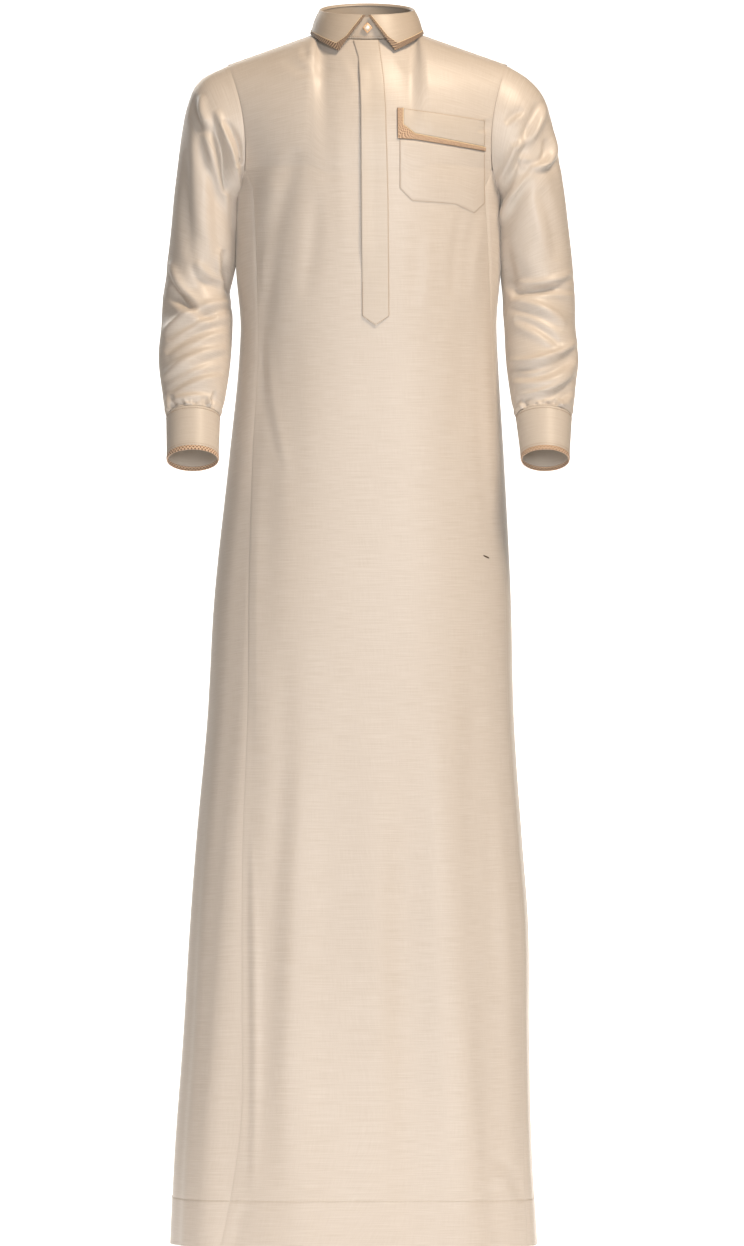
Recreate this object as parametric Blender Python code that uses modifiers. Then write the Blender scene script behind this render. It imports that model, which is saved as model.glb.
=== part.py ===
"""A long ankle-length robe with a shirt collar, worn shape, open and hollow.

Metres, +Z up, the front faces -Y and the wearer's left is +X.
The origin is the middle of the neck opening, where the wearer carries the robe.
Every piece is a cloth wall: its outer points come from the tables below, and its
inner points are the same points moved in by the cloth's thickness.
"""
import math

import bmesh
import bpy
import numpy as np

# Wall thicknesses, and the clearances between pieces.
CLOTH = 0.0018
STIFF_CLOTH = 0.0022
PATCH_CLOTH = 0.0012
SEAM_GAP = 0.0003
ARMHOLE_GAP = 0.0006
LIFT = 0.0012
POCKET_LIFT = 0.0014

# Heights of the hem and the chest line, and how much of a sleeve the front panel borders.
HEM_Z = -1.612
CHEST_Z = -0.205
ARMHOLE_ARC = math.radians(135)
SEAM_SHARE = 2 / math.pi * math.asin((1 + math.cos(ARMHOLE_ARC)) / 2)

# How the chest and the upper back round over towards the neck and the shoulders.
CHEST_POWER = 1.8
CHEST_BULGE = 0.012
EDGE_REACH = 5
SHOULDER_ROUND = 0.85
NECK_ROUND = 0.15
ROUND_START = 0.24
ROUND_SPAN = 0.20
SHOULDER_SHARE = 0.30
SHOULDER_TURN = 1.86
SHOULDER_GAP = 0.0012
STEER_START = 0.36
STEER_SPAN = 0.04

# Rough widths, only to turn a gap in metres into a share of a panel.
PANEL_WIDTH = 0.40
SIDE_WIDTH = 0.036
CHEST_WIDTH = 0.36
CUFF_LENGTH = 0.060
PLACE_STEPS = 14
FINE_STEP = 1e-4

# Half sizes of the robe's section at each height, and how square the section is.
BODY_COLUMNS = ("z", "right", "left", "front", "back", "square")
BODY_ROWS = (
    (CHEST_Z, 0.1660, 0.1700, 0.118, 0.112, 2.30),
    (-0.260, 0.1665, 0.1705, 0.121, 0.111, 2.30),
    (-0.330, 0.1675, 0.1715, 0.122, 0.108, 2.32),
    (-0.434, 0.1715, 0.1755, 0.122, 0.109, 2.35),
    (-0.568, 0.1850, 0.1836, 0.126, 0.118, 2.42),
    (-0.756, 0.2050, 0.1930, 0.133, 0.132, 2.50),
    (-0.917, 0.2144, 0.1970, 0.139, 0.142, 2.60),
    (-1.077, 0.2290, 0.2077, 0.146, 0.150, 2.72),
    (-1.185, 0.2370, 0.2157, 0.152, 0.156, 2.80),
    (-1.345, 0.2466, 0.2170, 0.160, 0.164, 2.90),
    (-1.506, 0.2586, 0.2210, 0.168, 0.172, 3.00),
    (HEM_Z, 0.2640, 0.2280, 0.174, 0.178, 3.00),
)

# Where the side panels' seams lie, as a share of the half width at that height.
SEAM_COLUMNS = ("z", "front_right", "front_left", "back_right", "back_left")
SEAM_ROWS = (
    (CHEST_Z, 0.920, 0.930, 0.90, 0.90),
    (-0.290, 0.890, 0.955, 0.89, 0.89),
    (-0.400, 0.872, 0.962, 0.88, 0.88),
    (-0.545, 0.850, 0.960, 0.86, 0.86),
    (-0.756, 0.784, 0.955, 0.82, 0.84),
    (-1.090, 0.730, 0.950, 0.78, 0.82),
    (-1.290, 0.700, 0.945, 0.76, 0.80),
    (-1.480, 0.680, 0.940, 0.75, 0.79),
    (-1.560, 0.715, 0.935, 0.75, 0.79),
    (HEM_Z, 0.750, 0.930, 0.75, 0.79),
)

# Long soft folds of the robe: angle from the front middle, height span, width and depth.
FOLD_COLUMNS = ("degrees", "z_top", "z_low", "lean", "width", "depth")
FOLD_ROWS = (
    (-52, -0.26, -0.62, 12, 9, -0.0035),
    (-38, -0.18, -0.40, -16, 7, -0.0030),
    (-44, -0.70, -1.70, -6, 8, 0.0050),
    (-30, -0.80, -1.70, -2, 9, -0.0045),
    (-12, -0.95, -1.75, 3, 8, 0.0040),
    (8, -0.85, -1.75, 2, 9, -0.0040),
    (26, -0.90, -1.75, 4, 8, 0.0040),
    (46, -0.60, -1.75, -5, 9, -0.0045),
    (66, -0.45, -1.70, 4, 8, 0.0045),
    (-78, -0.60, -1.75, 4, 9, -0.0060),
    (-104, -0.70, -1.75, -4, 9, 0.0060),
    (104, -0.70, -1.75, 4, 9, 0.0060),
    (128, -0.55, -1.75, -3, 10, -0.0060),
    (152, -0.40, -1.75, 2, 9, 0.0060),
    (178, -0.30, -1.75, 0, 10, -0.0060),
    (-154, -0.40, -1.75, -3, 9, 0.0060),
    (-130, -0.55, -1.75, 3, 10, -0.0060),
)

# Sleeve sections from the armhole to the cuff: the outer and inner edge seen from the
# front, half the depth, the middle's y, the forward tilt and the armhole's scoop.
SLEEVE_COLUMNS = ("outer_x", "outer_z", "inner_x", "inner_z", "depth", "y", "tilt", "scoop")
SLEEVE_RIGHT = (
    (0.1860, -0.040, 0.1670, -0.205, 0.058, 0.000, 0, 0.012),
    (0.2224, -0.059, 0.1715, -0.213, 0.060, 0.001, 0, 0.008),
    (0.2385, -0.086, 0.1735, -0.226, 0.060, 0.003, 0, 0.003),
    (0.2490, -0.133, 0.1745, -0.246, 0.059, 0.005, 0, 0.000),
    (0.2560, -0.193, 0.1755, -0.272, 0.058, 0.007, 0, 0.000),
    (0.2626, -0.260, 0.1775, -0.308, 0.056, 0.008, 0, 0.000),
    (0.2707, -0.327, 0.1830, -0.347, 0.054, 0.004, 5, 0.000),
    (0.2760, -0.381, 0.1800, -0.386, 0.050, -0.010, 13, 0.000),
    (0.2787, -0.434, 0.1825, -0.437, 0.046, -0.031, 21, 0.000),
    (0.2740, -0.481, 0.1890, -0.483, 0.040, -0.051, 25, 0.000),
    (0.2675, -0.511, 0.1965, -0.511, 0.034, -0.065, 26, 0.000),
)
SLEEVE_LEFT = (
    (0.1876, -0.040, 0.1715, -0.205, 0.058, 0.000, 0, 0.012),
    (0.2170, -0.059, 0.1755, -0.213, 0.060, 0.001, 0, 0.008),
    (0.2385, -0.086, 0.1770, -0.226, 0.060, 0.003, 0, 0.003),
    (0.2506, -0.133, 0.1780, -0.246, 0.059, 0.005, 0, 0.000),
    (0.2613, -0.193, 0.1790, -0.272, 0.058, 0.007, 0, 0.000),
    (0.2707, -0.260, 0.1800, -0.308, 0.056, 0.008, 0, 0.000),
    (0.2774, -0.327, 0.1815, -0.347, 0.054, 0.004, 5, 0.000),
    (0.2800, -0.381, 0.1835, -0.386, 0.050, -0.010, 13, 0.000),
    (0.2827, -0.434, 0.1860, -0.437, 0.046, -0.031, 21, 0.000),
    (0.2787, -0.481, 0.1920, -0.483, 0.040, -0.051, 25, 0.000),
    (0.2734, -0.511, 0.1985, -0.511, 0.034, -0.065, 26, 0.000),
)
SLEEVES = {"right": SLEEVE_RIGHT, "left": SLEEVE_LEFT}
SIGN = {"right": -1.0, "left": 1.0}
LAST_SECTION = len(SLEEVE_RIGHT) - 1

# Largest creases of a sleeve: place along it, angle round it, slant, widths and depth.
CREASE_COLUMNS = ("along", "degrees", "slant", "width", "spread", "depth")
CREASE_ROWS = (
    (2.6, 70, 30, 0.55, 34, -0.0040),
    (3.4, 118, 26, 0.60, 30, -0.0045),
    (4.6, 60, 20, 0.60, 38, 0.0030),
    (5.7, 130, -24, 0.45, 44, -0.0045),
    (6.5, 60, -26, 0.40, 52, -0.0045),
    (7.2, 120, -20, 0.40, 50, 0.0035),
    (7.9, 80, -22, 0.40, 56, -0.0040),
    (8.7, 100, 18, 0.35, 60, 0.0030),
    (9.4, 90, 10, 0.30, 70, -0.0028),
)

# The cuff's two ends: the middle of the ring, half its width and half its depth.
CUFF_COLUMNS = ("x", "z", "half_width", "depth", "y")
CUFFS = {
    "right": ((0.2322, -0.5112, 0.0358, 0.0345, -0.0655), (0.2325, -0.5660, 0.0343, 0.0325, -0.0915)),
    "left": ((0.2362, -0.5112, 0.0373, 0.0345, -0.0655), (0.2378, -0.5660, 0.0322, 0.0325, -0.0915)),
}
CUFF_TILT = math.radians(26)
CUFF_TRIM_DEPTH = 0.0048

# The neck opening and the collar's stand, as ovals round the origin's axis.
NECK_WIDTH = 0.0660
NECK_FRONT = 0.0600
NECK_BACK = 0.0580
NECK_Z_FRONT = -0.0075
NECK_Z_SIDE = 0.0030
NECK_Z_BACK = 0.0150
STAND_FOOT = 0.0010
STAND_TOP_INSET = 0.0040
STAND_TOP_FRONT = 0.0225
STAND_TOP_SIDE = 0.0310
STAND_TOP_BACK = 0.0420
STAND_START = math.radians(-17.5)

# The collar's leaf from its front edge round to the back: fold angle, low edge, low z.
LEAF_COLUMNS = ("along", "top", "low", "low_z")
LEAF_RIGHT = (
    (0.00, 8.0, 30.0, -0.0224),
    (0.12, 24.0, 46.0, -0.0135),
    (0.26, 50.0, 66.0, -0.0040),
    (0.45, 84.0, 90.0, 0.0027),
    (0.70, 130.0, 132.0, 0.0075),
    (1.00, 180.0, 180.0, 0.0100),
)
LEAF_LEFT = (
    (0.00, 3.6, 30.0, -0.0224),
    (0.12, 22.0, 46.0, -0.0135),
    (0.26, 50.0, 66.0, -0.0040),
    (0.45, 84.0, 90.0, 0.0027),
    (0.70, 130.0, 132.0, 0.0075),
    (1.00, 180.0, 180.0, 0.0100),
)
LEAF_TOP_WIDTH = 0.0644
LEAF_TOP_FRONT = 0.0589
LEAF_TOP_BACK = 0.0569
LEAF_LOW_WIDTH = 0.0745
LEAF_LOW_FRONT = 0.0800
LEAF_LOW_BACK = 0.0800
LEAF_RISE = 0.0025
LEAF_EDGE = 0.010
LEAF_HEM = 0.86
LEAF_TRIM_GAP = 0.008
LEAF_END_GAP = 0.0008

# The placket's two edges down the front, and its point.
PLACKET_COLUMNS = ("z", "right", "left")
PLACKET_ROWS = (
    (-0.0120, -0.0185, 0.0160),
    (-0.0308, -0.0118, 0.0188),
    (-0.0616, -0.0094, 0.0228),
    (-0.1005, -0.0080, 0.0255),
    (-0.2200, -0.0074, 0.0288),
    (-0.3780, -0.0067, 0.0300),
    (-0.3910, 0.0112, 0.0124),
)

# The chest pocket, its flap and the woven edging, as x and z on the front.
FLAP_TOP = ((0.0482, -0.1005), (0.1575, -0.1150))
FLAP_LOW = ((0.0482, -0.1222), (0.0643, -0.1345), (0.1575, -0.1510))
EDGING_OUTER = ((0.0402, -0.1005), (0.0405, -0.1222), (0.0408, -0.1412), (0.0643, -0.1427), (0.1575, -0.1566))
EDGING_INNER = ((0.0478, -0.1005), (0.0478, -0.1224), (0.0560, -0.1287), (0.0641, -0.1349), (0.1575, -0.1515))
POCKET_TOP = ((0.0429, -0.1416), (0.0643, -0.1431), (0.1575, -0.1570))
POCKET_LOW = ((0.0429, -0.2080), (0.0600, -0.2250), (0.1180, -0.2290), (0.1428, -0.2405), (0.1575, -0.2270))

GUSSET_LOW_Z = -0.345
GUSSET_POINT = 0.018

STUD_HALF_WIDTH = 0.0062
STUD_HALF_HEIGHT = 0.0070
STUD_THICKNESS = 0.0042
STUD_Z = 0.0105
STUD_BEVEL = 0.0009

TAN = (0.70, 0.60, 0.47, 1.0)
BROWN = (0.42, 0.30, 0.20, 1.0)
PEARL = (0.88, 0.80, 0.68, 1.0)


def clear_scene():
    for thing in list(bpy.data.objects):
        bpy.data.objects.remove(thing, do_unlink=True)


def make_material(name, colour, roughness, metallic):
    material = bpy.data.materials.new(name)
    material.use_nodes = True
    shader = material.node_tree.nodes["Principled BSDF"]
    shader.inputs["Base Color"].default_value = colour
    shader.inputs["Roughness"].default_value = roughness
    shader.inputs["Metallic"].default_value = metallic
    return material


def smooth(place, stations, values):
    """A curve with continuous slope through the table's stations."""
    stations, values = np.asarray(stations, float), np.asarray(values, float)
    if stations[0] > stations[-1]:
        stations, values = stations[::-1], values[::-1]
    slopes = np.gradient(values, stations)
    place = np.clip(place, stations[0], stations[-1])
    i = np.clip(np.searchsorted(stations, place) - 1, 0, len(stations) - 2)
    span = stations[i + 1] - stations[i]
    t = (place - stations[i]) / span
    return (
        (2 * t**3 - 3 * t**2 + 1) * values[i]
        + (t**3 - 2 * t**2 + t) * span * slopes[i]
        + (3 * t**2 - 2 * t**3) * values[i + 1]
        + (t**3 - t**2) * span * slopes[i + 1]
    )


def column(rows, columns, name):
    return [row[columns.index(name)] for row in rows]


def body_size(name, z):
    return smooth(z, column(BODY_ROWS, BODY_COLUMNS, "z"), column(BODY_ROWS, BODY_COLUMNS, name))


def seam_angle(name, z):
    """The seam's angle from the front middle, from its share of the half width."""
    share = smooth(z, column(SEAM_ROWS, SEAM_COLUMNS, "z"), column(SEAM_ROWS, SEAM_COLUMNS, name))
    angle = np.arcsin(share ** (body_size("square", z) / 2))
    if name.startswith("back"):
        angle = math.pi - angle
    return -angle if name.endswith("right") else angle


def fold_push(angle, z):
    """How far the robe's long folds push its surface out."""
    push = np.zeros(np.broadcast(angle, z).shape)
    for degrees, z_top, z_low, lean, width, depth in FOLD_ROWS:
        down = np.clip((z_top - z) / (z_top - z_low), 0, 1)
        middle = np.radians(degrees + lean * down)
        away = (angle - middle + math.pi) % (2 * math.pi) - math.pi
        strength = np.sin(np.minimum(down * 1.4, 1.0) * math.pi / 2) ** 2
        push = push + depth * strength * np.exp(-((away / np.radians(width)) ** 2))
    return push


def body_point(angle, z):
    """A point of the robe's outer surface below the chest line."""
    sine, cosine = np.sin(angle), np.cos(angle)
    power = 2 / body_size("square", z)
    half_width = np.where(sine < 0, body_size("right", z), body_size("left", z))
    half_depth = np.where(cosine > 0, body_size("front", z), body_size("back", z))
    x = np.sign(sine) * np.abs(sine) ** power * half_width
    y = -np.sign(cosine) * np.abs(cosine) ** power * half_depth
    push = fold_push(angle, z)
    return np.stack([x + push * sine, y - push * cosine, z + 0 * x], -1)


def sleeve_size(side, name, along):
    rows = SLEEVES[side]
    return smooth(along, np.arange(len(rows)), column(rows, SLEEVE_COLUMNS, name))


def crease_push(side, along, turn):
    """How far a sleeve's creases push its surface out."""
    push = np.zeros(np.broadcast(along, turn).shape)
    for place, degrees, slant, width, spread, depth in CREASE_ROWS:
        away = (turn - math.radians(degrees) + math.pi) % (2 * math.pi) - math.pi
        off = along - place - away * slant / 40
        push = push + depth * np.exp(-((off / width) ** 2) - (away / math.radians(spread)) ** 2)
    return push * np.clip(along / 2, 0, 1) * np.clip((LAST_SECTION - along) * 1.5, 0, 1)


def sleeve_point(side, along, turn):
    """A point of a sleeve: turn is 0 on its outer edge, 90 degrees in front."""
    size = {name: sleeve_size(side, name, along) for name in SLEEVE_COLUMNS}
    middle_x = (size["outer_x"] + size["inner_x"]) / 2
    middle_z = (size["outer_z"] + size["inner_z"]) / 2
    across_x = (size["outer_x"] - size["inner_x"]) / 2
    across_z = (size["outer_z"] - size["inner_z"]) / 2
    push = crease_push(side, along, turn)
    swell = 1 + push / np.hypot(across_x, across_z)
    depth = size["depth"] + push
    tilt = np.radians(size["tilt"])
    scoop = size["scoop"] * np.sin(turn) ** 2
    x = middle_x + across_x * np.cos(turn) * swell - scoop
    y = size["y"] - depth * np.sin(turn) * np.cos(tilt)
    z = middle_z + across_z * np.cos(turn) * swell + depth * np.sin(turn) * np.sin(tilt)
    return np.stack([SIGN[side] * x, y + 0 * x, z], -1)


def neck_point(angle):
    """A point of the neckline: angle 0 in front, positive to the wearer's left."""
    front = np.cos(angle) > 0
    depth = np.where(front, NECK_FRONT, NECK_BACK)
    level = np.where(front, NECK_Z_FRONT, NECK_Z_BACK) - NECK_Z_SIDE
    return np.stack([
        NECK_WIDTH * np.sin(angle),
        -depth * np.cos(angle),
        NECK_Z_SIDE + level * np.abs(np.cos(angle)),
    ], -1)


def top_edge(across, back):
    """The upper edge of the front or back: shoulder, neckline, shoulder."""
    share = np.clip((across - SHOULDER_SHARE) / (1 - 2 * SHOULDER_SHARE), 0, 1)
    angle = (share - 0.5) * math.pi
    if back:
        angle = math.pi - angle
    edge = neck_point(angle)
    for side, run in (("right", across), ("left", 1 - across)):
        tip = sleeve_point(side, np.zeros(1), np.zeros(1))[0]
        neck = neck_point(np.array(SIGN[side] * math.pi / 2))
        part = np.clip(run / SHOULDER_SHARE, 0, 1)[..., None]
        edge = np.where(run[..., None] < SHOULDER_SHARE, tip + (neck - tip) * part, edge)
    return edge


def armhole_edge(side, up, back):
    """The panel's side above the chest line: a short seam, then the armhole."""
    name = ("back_" if back else "front_") + side
    foot = body_point(seam_angle(name, np.array(CHEST_Z)), np.array(CHEST_Z))
    turn = np.arccos(np.clip(2 * np.sin(np.clip(up, SEAM_SHARE, 1) * math.pi / 2) - 1, -1, 1))
    turn = -turn if back else turn
    arc = sleeve_point(side, np.zeros_like(turn), turn)
    start = sleeve_point(side, np.zeros(1), np.array([-ARMHOLE_ARC if back else ARMHOLE_ARC]))[0]
    part = np.clip(up / SEAM_SHARE, 0, 1)[..., None]
    return np.where(up[..., None] < SEAM_SHARE, foot + (start - foot) * part, arc)


def blend_patch(across, up, back):
    """The chest or the upper back, spanned between its four edges."""
    names = ("back_right", "back_left") if back else ("front_right", "front_left")
    first = seam_angle(names[0], np.array(CHEST_Z))
    last = seam_angle(names[1], np.array(CHEST_Z))
    if back:
        first = first + 2 * math.pi
    angle = first + (last - first) * across
    low = body_point(angle, np.full_like(angle, CHEST_Z))
    top = top_edge(across, back)
    right = armhole_edge("right", up, back)
    left = armhole_edge("left", up, back)
    ends = np.zeros(1), np.ones(1)
    corner_low = [armhole_edge(side, ends[0], back)[0] for side in ("right", "left")]
    corner_top = [top_edge(end, back)[0] for end in ends]
    outward = np.clip((np.abs(2 * across - 1) - ROUND_START) / ROUND_SPAN, 0, 1)
    round_top = SHOULDER_ROUND * outward + NECK_ROUND
    rise, reach = np.sin(up * math.pi / 2), 1 - np.cos(up * math.pi / 2)
    weight = np.stack([
        up,
        up**CHEST_POWER + (reach - up**CHEST_POWER) * round_top,
        up + (rise - up) * round_top,
    ], -1)
    share = across[..., None]
    edge_weight = np.stack([up, reach, rise], -1)
    patch = (1 - weight) * low + weight * top
    sides = zip((right, left), (1 - share, share), corner_low, corner_top)
    for edge, near, low_corner, top_corner in sides:
        straight = (1 - edge_weight) * low_corner + edge_weight * top_corner
        patch = patch + near**EDGE_REACH * (edge - straight)
    swell = CHEST_BULGE * np.sin(math.pi * up) * up * (1 - (2 * across - 1) ** 2)
    patch[..., 1] += swell if back else -swell
    return patch


def panel_point(across, up, back=False):
    """The front or back: across 0..1 from the right seam, up 0 at the hem, 1 at the chest, 2 on top."""
    names = ("back_right", "back_left") if back else ("front_right", "front_left")
    z = HEM_Z + (CHEST_Z - HEM_Z) * np.clip(up, 0, 1)
    first, last = seam_angle(names[0], z), seam_angle(names[1], z)
    if back:
        first = first + 2 * math.pi
    lower = body_point(first + (last - first) * across, z)
    upper = blend_patch(across, np.clip(up - 1, 0, 1), back)
    return np.where(up[..., None] <= 1, lower, upper)


def side_point(side, across, z):
    """The side between the two seams: across 0 at the front seam, 1 at the back seam."""
    first, last = seam_angle("front_" + side, z), seam_angle("back_" + side, z)
    return body_point(first + (last - first) * across, z)


def gusset_low(across):
    return GUSSET_LOW_Z - GUSSET_POINT * (1 - np.abs(2 * across - 1))


def gusset_point(side, across, up):
    """The underarm gusset: up 0 at its point, 1 at the chest line, 2 at the armhole."""
    z = gusset_low(across) + (CHEST_Z - gusset_low(across)) * np.clip(up, 0, 1)
    lower = side_point(side, across, z)
    turn = ARMHOLE_ARC + (2 * math.pi - 2 * ARMHOLE_ARC) * across
    rim = sleeve_point(side, np.zeros_like(turn), turn)
    part = np.clip(up - 1, 0, 1)[..., None]
    return lower + (rim - lower) * part


def cuff_point(side, down, turn, inset=0.0):
    """A point of the cuff: down 0 at the sleeve, 1 at the wrist edge."""
    ends = zip(CUFF_COLUMNS, *CUFFS[side])
    size = {name: top + (low - top) * np.asarray(down, float) for name, top, low in ends}
    depth = (size["depth"] - inset) * np.sin(turn)
    x = size["x"] + (size["half_width"] - inset) * np.cos(turn)
    y = size["y"] - depth * math.cos(CUFF_TILT)
    z = size["z"] + depth * math.sin(CUFF_TILT)
    return np.stack([SIGN[side] * x, y, z], -1)


def stand_point(angle, up):
    """The collar stand: up 0 on the neckline, 1 on its top edge."""
    base = neck_point(angle)
    front = np.cos(angle) > 0
    level = np.where(front, STAND_TOP_FRONT, STAND_TOP_BACK) - STAND_TOP_SIDE
    scale = 1 - STAND_TOP_INSET / NECK_WIDTH
    top = np.stack([
        base[..., 0] * scale,
        base[..., 1] * scale,
        STAND_TOP_SIDE + level * np.abs(np.cos(angle)),
    ], -1)
    foot = base + np.array([0, 0, STAND_FOOT])
    return foot + (top - foot) * np.asarray(up, float)[..., None]


def leaf_point(around, down):
    """The collar leaf: around 0 at its right front edge, 1 at its left; down 0 at the fold."""
    half = 1 - np.abs(2 * around - 1)
    left = around > 0.5
    sign = np.where(left, 1.0, -1.0)
    place = {}
    for name in ("top", "low", "low_z"):
        pair = [
            smooth(half, column(rows, LEAF_COLUMNS, "along"), column(rows, LEAF_COLUMNS, name))
            for rows in (LEAF_RIGHT, LEAF_LEFT)
        ]
        place[name] = np.where(left, pair[1], pair[0])
    top_angle, low_angle = np.radians(place["top"]), np.radians(place["low"])
    front = np.cos(top_angle) > 0
    level = np.where(front, STAND_TOP_FRONT, STAND_TOP_BACK) - STAND_TOP_SIDE
    top = np.stack([
        sign * LEAF_TOP_WIDTH * np.sin(top_angle),
        -np.where(front, LEAF_TOP_FRONT, LEAF_TOP_BACK) * np.cos(top_angle),
        STAND_TOP_SIDE + level * np.abs(np.cos(top_angle)) + LEAF_RISE,
    ], -1)
    low_front = np.cos(low_angle) > 0
    low = np.stack([
        sign * LEAF_LOW_WIDTH * np.sin(low_angle),
        -np.where(low_front, LEAF_LOW_FRONT, LEAF_LOW_BACK) * np.cos(low_angle),
        place["low_z"],
    ], -1)
    return top + (low - top) * np.asarray(down, float)[..., None]


def front_place(x, z):
    """The panel's own place, across and up, of a point of the front given by x and z."""
    across = np.clip(0.5 + x / CHEST_WIDTH, 0.05, 0.95)
    up = np.where(z < CHEST_Z, (z - HEM_Z) / (CHEST_Z - HEM_Z), 1 + (z - CHEST_Z) / (-CHEST_Z))
    step = FINE_STEP
    for _ in range(PLACE_STEPS):
        here = panel_point(across, up)
        along_across = (panel_point(across + step, up) - here) / step
        along_up = (panel_point(across, up + step) - here) / step
        miss_x, miss_z = x - here[..., 0], z - here[..., 2]
        spread = along_across[..., 0] * along_up[..., 2] - along_up[..., 0] * along_across[..., 2]
        step_across = (miss_x * along_up[..., 2] - miss_z * along_up[..., 0]) / spread
        step_up = (miss_z * along_across[..., 0] - miss_x * along_across[..., 2]) / spread
        across = np.clip(across + step_across, 0.01, 0.99)
        up = np.clip(up + step_up, 0.01, 1.99)
    return across, up


def surface_normal(surface, first, second, step=FINE_STEP):
    """The outward unit normal of surface(first, second), both arrays."""
    ahead = surface(first + step, second) - surface(first - step, second)
    above = surface(first, second + step) - surface(first, second - step)
    normal = np.cross(ahead, above)
    return normal / np.linalg.norm(normal, axis=-1, keepdims=True)


def wall(name, outer, inner, material, closed=False):
    """A closed cloth wall between an outer and an inner grid of rows and columns."""
    rows, columns = outer.shape[:2]
    mesh = bmesh.new()
    layers = [[[mesh.verts.new(p) for p in row] for row in grid] for grid in (outer, inner)]
    spans = range(columns if closed else columns - 1)
    for r in range(rows - 1):
        for c in spans:
            d = (c + 1) % columns
            for grid, order in ((layers[0], 1), (layers[1], -1)):
                mesh.faces.new([grid[r][c], grid[r][d], grid[r + 1][d], grid[r + 1][c]][::order])
    for c in spans:
        d = (c + 1) % columns
        for r, order in ((0, -1), (rows - 1, 1)):
            mesh.faces.new([layers[0][r][c], layers[0][r][d], layers[1][r][d], layers[1][r][c]][::order])
    if not closed:
        for r in range(rows - 1):
            for c, order in ((0, 1), (columns - 1, -1)):
                mesh.faces.new([
                    layers[0][r][c], layers[0][r + 1][c], layers[1][r + 1][c], layers[1][r][c]
                ][::order])
    bmesh.ops.recalc_face_normals(mesh, faces=mesh.faces)
    if mesh.calc_volume(signed=True) < 0:
        bmesh.ops.reverse_faces(mesh, faces=mesh.faces)
    data = bpy.data.meshes.new(name)
    mesh.to_mesh(data)
    mesh.free()
    data.materials.append(material)
    data.shade_smooth()
    data.set_sharp_from_angle(angle=math.radians(50))
    made = bpy.data.objects.new(name, data)
    bpy.data.collections["thobe"].objects.link(made)
    return made


def surface_wall(name, surface, first, second, thickness, material, closed=False, flip=False, steer=None):
    """A wall whose outer side is the surface at these places and whose inner side lies within."""
    outer = surface(first, second)
    normal = surface_normal(surface, first, second)
    if flip:
        normal = -normal
    if steer is not None:
        normal = steer(normal, first, second)
    return wall(name, outer, outer - normal * thickness, material, closed)


def grid(first, second):
    """Two lists of stations as rows of second and columns of first."""
    return np.meshgrid(np.asarray(first, float), np.asarray(second, float))


def shoulder_steer(normal, across, up):
    """Turns the wall at the shoulder seam upright, so front and back meet edge to edge."""
    at_top = np.clip((up - SHOULDER_TURN) / (2 - SHOULDER_TURN), 0, 1)
    at_side = np.clip((np.abs(2 * across - 1) - STEER_START) / STEER_SPAN, 0, 1)
    steered = normal.copy()
    steered[..., 1] *= 1 - at_top * at_side
    return steered / np.linalg.norm(steered, axis=-1, keepdims=True)


def build_panels(cloth):
    seam = SEAM_GAP / 2 / PANEL_WIDTH
    for name, back, columns in (("front_panel", False, 27), ("back_panel", True, 21)):
        lower = np.concatenate([np.linspace(0, 0.76, 10), np.linspace(0.76, 1, 7)[1:]])
        upper = 1 + np.linspace(0, 1 - SHOULDER_GAP, 10)[1:]
        across, up = grid(np.linspace(seam, 1 - seam, columns), np.concatenate([lower, upper]))
        surface_wall(name, lambda a, u, b=back: panel_point(a, u, b), across, up, CLOTH, cloth,
                     flip=back, steer=shoulder_steer)


def build_sides(cloth):
    for side, sign in SIGN.items():
        flip = sign < 0
        edge = SEAM_GAP / SIDE_WIDTH
        across, drop = grid(np.linspace(edge, 1 - edge, 7), np.linspace(0, 1, 15))
        top = gusset_low(across) - SEAM_GAP
        z = HEM_Z + (top - HEM_Z) * drop
        surface_wall("side_panel_" + side, lambda a, h, s=side: side_point(s, a, h), across, z,
                     CLOTH, cloth, flip=flip)
        across, up = grid(np.linspace(edge * 2, 1 - edge * 2, 7), (0, 0.33, 0.67, 1.0, 1.97))
        surface_wall("gusset_" + side, lambda a, u, s=side: gusset_point(s, a, u), across, up,
                     CLOTH, cloth, flip=flip)


def build_sleeves(cloth, edging):
    for side, sign in SIGN.items():
        flip = sign < 0
        turns = np.linspace(0, 2 * math.pi, 22, endpoint=False)
        places = np.concatenate([[0.0, 0.5], np.linspace(1, LAST_SECTION, 21)])
        turn, along = grid(turns, places)

        def sleeve(t, a, s=side, k=sign):
            shift = ARMHOLE_GAP * np.clip(1 - a, 0, 1)
            return sleeve_point(s, a, t) + shift[..., None] * np.array([k, 0, 0])

        surface_wall("sleeve_" + side, sleeve, turn, along, CLOTH, cloth, closed=True, flip=flip)
        turn, down = grid(turns, (0.002, 0.5, 0.985))
        surface_wall("cuff_" + side, lambda t, d, s=side: cuff_point(s, d, t), turn, down,
                     STIFF_CLOTH, cloth, closed=True, flip=flip)
        turn, down = grid(turns, (0.992, 0.992 + CUFF_TRIM_DEPTH / CUFF_LENGTH))
        surface_wall("cuff_trim_" + side, lambda t, d, s=side: cuff_point(s, d, t, 0.0005), turn, down,
                     PATCH_CLOTH, edging, closed=True, flip=flip)


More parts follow.
